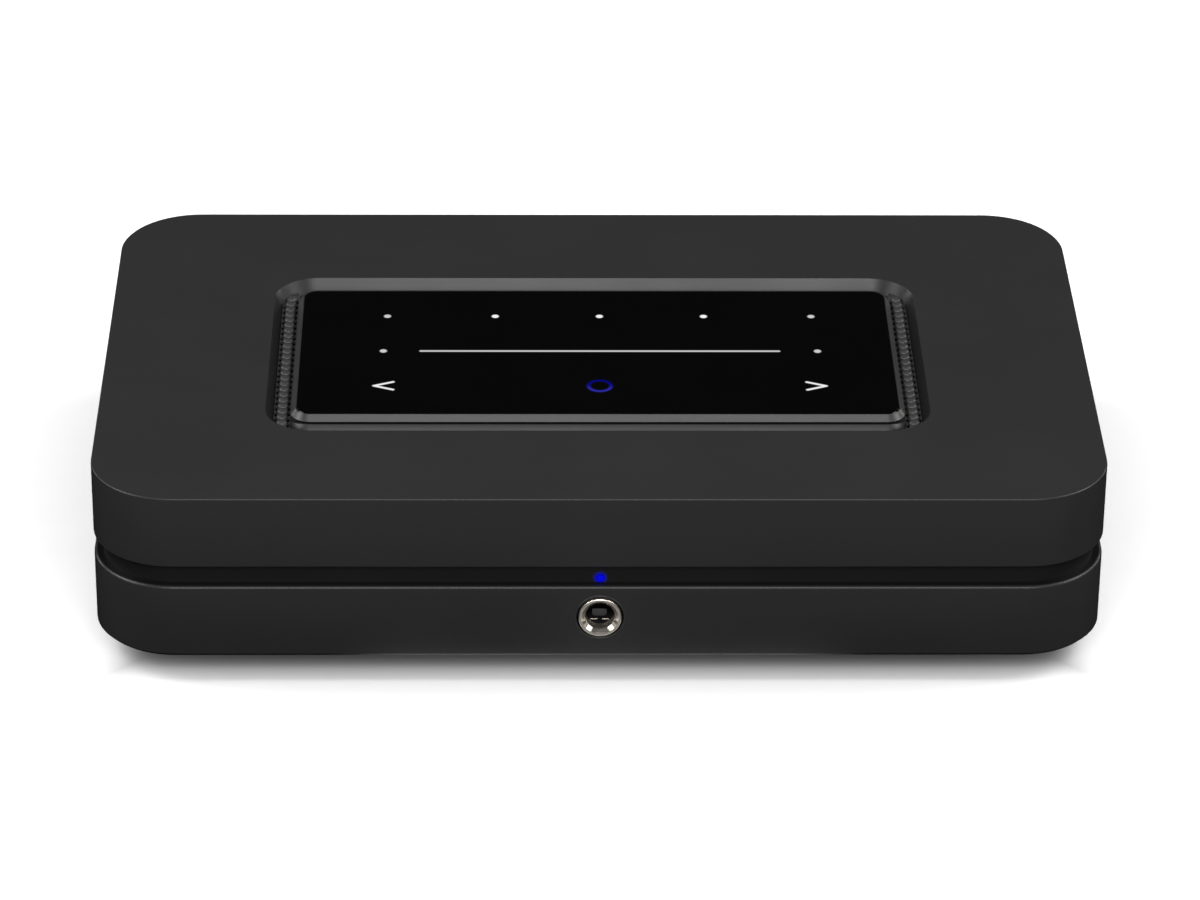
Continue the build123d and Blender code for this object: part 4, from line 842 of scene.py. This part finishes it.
class STREAMER_OT_casing(bpy.types.Operator):
    """Shells, band, bezel, tray and feet, shaded round, with a gap round the touch module"""
    bl_idname = "streamer.casing"
    bl_label = "Casing"

    def sink_seat(self, bm, settings):
        """A dark gap round the touch module: the seat's rim slides down, and a groove follows it in."""
        seat_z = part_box(settings.seat_node)[0].z
        tops = [face for face in bm.faces if face.normal.z > LEVEL
                and abs(face.calc_center_median().z - seat_z) < settings.seat_flat]
        if not tops:
            raise RuntimeError("the tray has no seat to sink")
        rim = {vert for face in tops for vert in face.verts}
        for vert in rim:
            slopes = []
            for edge in vert.link_edges:
                rise = (vert.co.z - edge.other_vert(vert).co.z) / edge.calc_length()
                if edge.other_vert(vert) not in rim and settings.slope_low < rise < settings.slope_high:
                    slopes.append(edge)
            if slopes:
                foot = min(slopes, key=lambda edge: edge.calc_length()).other_vert(vert)
                vert.co = vert.co.lerp(foot.co, settings.seat_slide / (vert.co.z - foot.co.z))
            else:
                vert.co.z -= settings.seat_slide
        for width, rise in ((settings.seat_rim, -settings.seat_groove),
                            (settings.seat_run, settings.seat_groove + settings.seat_slide)):
            bmesh.ops.inset_region(bm, faces=tops, thickness=width, depth=rise, use_boundary=True,
                                   use_even_offset=True)

    def execute(self, context):
        settings = context.scene.streamer_casing
        slots = {row["node"]: row["material_slot"] for row in frame["record"]["subparts"]}
        for node in ("upper_shell", "lower_shell", "mid_frame", "touch_bezel", "touch_tray", "rubber_feet"):
            bm = copy_of(node)
            if not bm.faces:
                raise RuntimeError(node + " came out empty")
            if node == settings.seat_of:
                self.sink_seat(bm, settings)
            made = piece(node + "_smooth", bm, slots[node], HOUSING, node)
            shade(made, settings.crisp_angle if node == settings.seat_node else settings.smooth_angle, True)
        return {"FINISHED"}


class STREAMER_OT_grilles(bpy.types.Operator):
    """Vent grilles with oblong holes and rounded ribs"""
    bl_idname = "streamer.grilles"
    bl_label = "Vent grilles"

    def cell(self, bm, settings, middle, shift, half_x, height):
        """A rectangle of sheet round one hole, which sits shift beside its middle."""
        hole_x = middle[0] + shift
        oval = Matrix.Diagonal((settings.hole_half_width, settings.hole_half_length, 1.0, 1.0))
        hole = bmesh.ops.create_circle(bm, segments=settings.hole_sides, radius=1.0,
                                       matrix=Matrix.Translation((hole_x, middle[1], height)) @ oval)["verts"]
        rim = list(dict.fromkeys(edge for vert in hole for edge in vert.link_edges))
        for item in bmesh.ops.extrude_edge_only(bm, edges=rim)["geom"]:
            if isinstance(item, bmesh.types.BMVert):
                across = (item.co.x - hole_x) / settings.hole_half_width
                along = (item.co.y - middle[1]) / settings.hole_half_length
                reach = max(abs(across), abs(along))
                item.co.x = middle[0] + half_x * across / reach
                item.co.y = middle[1] + settings.pitch / 2 * along / reach

    def rib(self, bm, settings, middle, height, rise, sunk):
        """A rounded rib, half sunk into the strip."""
        rounded = settings.rib_half_length - settings.rib_straight
        made = bmesh.ops.create_uvsphere(bm, u_segments=settings.rib_segments,
                                         v_segments=settings.rib_rings, radius=1.0)["verts"]
        for vert in made:
            shift = math.copysign(settings.rib_straight, vert.co.x) if abs(vert.co.x) > MERGE_GAP else 0.0
            vert.co = Vector((middle[0] + vert.co.x * rounded + shift,
                              middle[1] + vert.co.y * settings.rib_half_width,
                              height + vert.co.z * (rise if vert.co.z > 0 else sunk)))
        return made

    def execute(self, context):
        settings = context.scene.streamer_grilles
        pocket_y = context.scene.streamer_signs.middle[1]
        buried = settings.thickness / 4
        for side, node in ((-1, "vent_grille_left"), (1, "vent_grille_right")):
            low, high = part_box(node)
            middle_x = (low.x + high.x) / 2
            half_x = (high.x - low.x) / 2
            strip_z = low.z + settings.thickness
            rise = high.z - strip_z
            outer_x = max(abs(low.x), abs(high.x))
            arc_x = outer_x - settings.corner_radius
            inner_run = outer_x - 2 * half_x - arc_x
            arc_y = high.y - pocket_y - math.sqrt(settings.corner_radius**2 - inner_run**2)
            rows = [pocket_y + (index - (settings.rows - 1) / 2) * settings.pitch
                    for index in range(settings.rows)]
            bm = bmesh.new()
            for row in rows[1:]:
                for column in (-1, 1):
                    shift = column * (settings.column - half_x / 2)
                    if abs(shift) > half_x / 2 - settings.hole_half_width:
                        raise RuntimeError("a hole of the grille leaves its strip")
                    valley = (middle_x + column * half_x / 2, row - settings.pitch / 2)
                    self.cell(bm, settings, valley, shift, half_x / 2, strip_z)
            bmesh.ops.remove_doubles(bm, verts=bm.verts, dist=MERGE_GAP)
            for row, stop in ((rows[0], low.y), (rows[-1], high.y)):
                rim = [edge for edge in bm.edges
                       if all(abs(vert.co.y - row) < MERGE_GAP for vert in edge.verts)]
                for item in bmesh.ops.extrude_edge_only(bm, edges=rim)["geom"]:
                    if isinstance(item, bmesh.types.BMVert):
                        item.co.y = stop
            for end in (-1, 1):
                centre = Vector((side * arc_x, pocket_y + end * arc_y, strip_z))
                for index in range(settings.corner_cuts + 1):
                    turn = math.pi / 2 * index / settings.corner_cuts
                    normal = Vector((side * math.cos(turn), end * math.sin(turn), 0.0))
                    bmesh.ops.bisect_plane(bm, geom=bm.verts[:] + bm.edges[:] + bm.faces[:], dist=CUT_GAP,
                                           plane_co=centre + normal * settings.corner_radius,
                                           plane_no=normal, clear_outer=True)
            under = bmesh.ops.extrude_face_region(bm, geom=bm.faces[:], use_keep_orig=True)["geom"]
            sunk = [item for item in under if isinstance(item, bmesh.types.BMVert)]
            bmesh.ops.translate(bm, verts=sunk, vec=(0.0, 0.0, -settings.thickness))
            if [edge for edge in bm.edges if len(edge.link_faces) != 2]:
                raise RuntimeError("the grille's sheet is not closed")
            for row in (rows[0] - settings.pitch, *rows, rows[-1] + settings.pitch):
                for vert in self.rib(bm, settings, (middle_x, row), strip_z, rise, buried):
                    out = Vector((max(side * vert.co.x - arc_x, 0.0),
                                  max(abs(vert.co.y - pocket_y) - arc_y, 0.0)))
                    over = out.length - (settings.corner_radius - buried)
                    if over > 0.0:
                        vert.co.x -= side * out.x / out.length * over
                        vert.co.y -= math.copysign(out.y / out.length * over, vert.co.y - pocket_y)
            made = piece(node + "_fine", bm, "grille_plastic", HOUSING, node)
            shade(made, settings.crisp_angle, False)
        return {"FINISHED"}


class STREAMER_OT_headphone(bpy.types.Operator):
    """Headphone ring with its funnel, and the springs in its bore"""
    bl_idname = "streamer.headphone"
    bl_label = "Headphone socket"

    def bar(self, bm, settings, middle, size, lean):
        """A bar across the bore with well rounded edges, leaning back."""
        turn = Matrix.Translation(middle) @ Matrix.Rotation(-lean, 4, "X") @ Matrix.Diagonal((*size, 1.0))
        made = bmesh.ops.create_cube(bm, size=1.0, matrix=turn)["verts"]
        edges = list(dict.fromkeys(edge for vert in made for edge in vert.link_edges))
        bmesh.ops.bevel(bm, geom=edges, offset=min(size) * settings.bar_round, offset_type="OFFSET",
                        affect="EDGES", segments=4, profile=0.5, material=-1, clamp_overlap=True)

    def execute(self, context):
        settings = context.scene.streamer_headphone
        steps = context.scene.streamer_phono.turn_steps
        low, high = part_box("headphone_ring")
        centre = Vector(((low.x + high.x) / 2, low.y, (low.z + high.z) / 2))
        outer = (high.x - low.x) / 2
        end = high.y - low.y
        lip = settings.lip_drop
        profile = [
            (outer, end), (outer, lip), (outer - lip * 0.35, lip * 0.4), (outer - lip * 0.9, lip * 0.06),
            (settings.lip_radius - lip * 0.4, 0.0), (settings.funnel_radius, lip * 0.22),
            (settings.bore_radius + lip * 0.35, settings.funnel_depth - lip * 0.1),
            (settings.bore_radius, settings.funnel_depth + lip * 0.3), (settings.bore_radius, end),
        ]
        bm = bmesh.new()
        turned(bm, profile, centre, steps)
        made = piece("headphone_ring_turned", bm, "nickel", HOUSING, "headphone_ring")
        shade(made, settings.ring_crisp, False)
        bm = bmesh.new()
        half = settings.rim_half
        front = Vector((centre.x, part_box("lower_shell")[0].y, centre.z))
        turned(bm, [(settings.rim_radius + half, half), (settings.rim_radius + half, 0.0),
                    (settings.rim_radius + half * 0.6, -half * 0.5), (settings.rim_radius, -half * 0.7),
                    (settings.rim_radius - half * 0.6, -half * 0.5), (settings.rim_radius - half, 0.0),
                    (settings.rim_radius - half, half)], front, steps)
        shade(piece("headphone_hole_rim", bm, "bezel_metal", HOUSING), settings.rim_crisp, False)
        bm = bmesh.new()
        inside = Vector((0.0, settings.tab_depth, settings.tab_height / 2 - settings.bore_radius))
        size = (settings.tab_width, settings.tip_height, settings.tab_height)
        self.bar(bm, settings, centre + inside, size, settings.tab_lean)
        shade(piece("headphone_tab", bm, "socket_plastic", HOUSING), settings.spring_crisp, False)
        bm = bmesh.new()
        drop = math.sqrt(settings.bore_radius**2 - (settings.tip_middle + settings.tip_reach / 2)**2)
        size = (settings.tip_reach, settings.tip_height, settings.tip_height)
        for side in (-1, 1):
            inside = Vector((side * settings.tip_middle, settings.tip_depth, -drop))
            self.bar(bm, settings, centre + inside, size, 0.0)
        shade(piece("headphone_tips", bm, "nickel", HOUSING), settings.spring_crisp, False)
        return {"FINISHED"}


class STREAMER_OT_phono(bpy.types.Operator):
    """Phono barrels with rounded lips, and the gilt rims of their contacts"""
    bl_idname = "streamer.phono"
    bl_label = "Phono sockets"

    def execute(self, context):
        settings = context.scene.streamer_phono
        rims = bmesh.new()
        for name in ("line_out_left", "line_out_right", "sub_out", "coaxial_out"):
            low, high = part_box(name + "_barrel")
            core_low, core_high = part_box(name + "_core")
            centre = Vector(((low.x + high.x) / 2, high.y, (low.z + high.z) / 2))
            outer = settings.barrel_radius
            bore = (core_high.x - core_low.x) / 2 + settings.bore_play
            depth = low.y - high.y
            turn = settings.lip_round
            profile = [
                (outer, depth), (outer, -turn), (outer - turn * 0.3, -turn * 0.3), (outer - turn, 0.0),
                (bore + turn * 0.6, 0.0), (bore + turn * 0.15, -turn * 0.2),
                (bore, -turn * 0.7), (bore, depth),
            ]
            bm = bmesh.new()
            turned(bm, profile, centre, settings.turn_steps)
            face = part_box("rear_panel")[1].y + settings.collar_proud - high.y
            turned(bm, [(settings.collar_radius, depth), (settings.collar_radius, face - turn),
                        (settings.collar_radius - turn, face), (settings.collar_inner, face),
                        (settings.collar_inner, depth)], centre, settings.collar_sides)
            made = piece(name + "_barrel_turned", bm, "nickel", HOUSING, name + "_barrel")
            shade(made, settings.crisp_angle, False)
            proud = settings.rim_proud
            rim = Vector((centre.x, core_high.y, centre.z))
            turned(rims, [(settings.rim_radius, -settings.rim_sunk), (settings.rim_radius, proud * 0.6),
                          (settings.rim_radius - proud, proud), (settings.rim_bore + proud, proud),
                          (settings.rim_bore, proud * 0.4), (settings.rim_bore, -settings.rim_sunk)],
                   rim, settings.turn_steps)
        made = piece("phono_contact_rims", rims, "contact_metal", HOUSING)
        shade(made, settings.crisp_angle, False)
        return {"FINISHED"}


class STREAMER_OT_stage(bpy.types.Operator):
    """Pale floor, soft light, backdrop and camera"""
    bl_idname = "streamer.stage"
    bl_label = "Stage"

    def lamp(self, settings, name, kind, side):
        """A rectangular lamp that points at the target."""
        stand = Vector(getattr(settings, kind + "_place"))
        stand.x *= side
        light = bpy.data.lights.new(name, "AREA")
        light.shape = "RECTANGLE"
        light.size, light.size_y = getattr(settings, kind + "_size")
        light.energy = getattr(settings, kind + "_power")
        made = bpy.data.objects.new(name, light)
        bpy.context.scene.collection.objects.link(made)
        made.location = stand
        made.rotation_euler = (Vector(settings.target) - stand).to_track_quat("-Z", "Y").to_euler()

    def execute(self, context):
        scene = context.scene
        settings = scene.streamer_stage
        bm = bmesh.new()
        bmesh.ops.create_grid(bm, x_segments=8, y_segments=8, size=settings.floor_half)
        mesh = bpy.data.meshes.new("stage_floor")
        bm.to_mesh(mesh)
        bm.free()
        floor = bpy.data.objects.new("stage_floor", mesh)
        scene.collection.objects.link(floor)
        mesh.materials.append(material("stage_paper", paper, settings))

        world = bpy.data.worlds.new("stage_light")
        world.use_nodes = True
        scene.world = world
        graph = Graph(world.node_tree)
        seen, gloss = graph.rays()
        around = graph.blend(gloss, settings.world_light, settings.world_gloss)
        tone = graph.blend(seen, around, settings.backdrop)
        back = graph.add("ShaderNodeBackground", None, {"Color": tone, "Strength": 1.0})
        graph.add("ShaderNodeOutputWorld", None, {"Surface": Term(graph, back.outputs[0])})

        self.lamp(settings, "softbox_front", "front", 1)
        for name, side in (("left", -1), ("right", 1)):
            for kind in ("softbox", "low", "dim", "back"):
                self.lamp(settings, kind + "_" + name, kind, side)

        yaw, pitch, roll = settings.yaw, settings.pitch, settings.roll
        ahead = Vector((math.sin(yaw) * math.cos(pitch), math.cos(yaw) * math.cos(pitch), -math.sin(pitch)))
        right = Vector((math.cos(yaw), -math.sin(yaw), 0.0))
        up = right.cross(ahead)
        leaned_right = math.cos(roll) * right + math.sin(roll) * up
        leaned_up = math.cos(roll) * up - math.sin(roll) * right
        turn = Matrix((leaned_right, leaned_up, -ahead)).transposed().to_4x4()
        camera = bpy.data.cameras.new("photo_camera")
        camera.sensor_width = 36.0
        camera.lens = settings.lens
        camera.clip_start = 0.01
        camera.clip_end = 20.0
        made = bpy.data.objects.new("photo_camera", camera)
        scene.collection.objects.link(made)
        made.matrix_world = Matrix.Translation(Vector(settings.camera_place)) @ turn
        scene.camera = made
        scene.view_settings.view_transform = "Standard"
        return {"FINISHED"}


OPERATORS = (
    STREAMER_OT_finishes,
    STREAMER_OT_casing,
    STREAMER_OT_grilles,
    STREAMER_OT_headphone,
    STREAMER_OT_phono,
    STREAMER_OT_stage,
)
SETTINGS = {
    "streamer_finishes": FinishSettings,
    "streamer_casing": CasingSettings,
    "streamer_grilles": GrilleSettings,
    "streamer_headphone": HeadphoneSettings,
    "streamer_phono": PhonoSettings,
    "streamer_light": LightSettings,
    "streamer_signs": SignSettings,
    "streamer_stage": StageSettings,
}


class STREAMER_PT_panel(bpy.types.Panel):
    """The pieces of the streamer, in the order in which they are made"""
    bl_idname = "STREAMER_PT_panel"
    bl_label = "Streamer"
    bl_space_type = "VIEW_3D"
    bl_region_type = "UI"
    bl_category = "Streamer"

    def draw(self, context):
        for operator in OPERATORS:
            self.layout.operator(operator.bl_idname)


def register():
    for group in SETTINGS.values():
        bpy.utils.register_class(group)
    for name, group in SETTINGS.items():
        setattr(bpy.types.Scene, name, PointerProperty(type=group))
    for operator in OPERATORS:
        bpy.utils.register_class(operator)
    bpy.utils.register_class(STREAMER_PT_panel)


def unregister():
    bpy.utils.unregister_class(STREAMER_PT_panel)
    for operator in reversed(OPERATORS):
        bpy.utils.unregister_class(operator)
    for name, group in SETTINGS.items():
        delattr(bpy.types.Scene, name)
        bpy.utils.unregister_class(group)


def main():
    register()
    for operator in OPERATORS:
        space, name = operator.bl_idname.split(".")
        getattr(getattr(bpy.ops, space), name)()


if __name__ == "__main__":
    main()
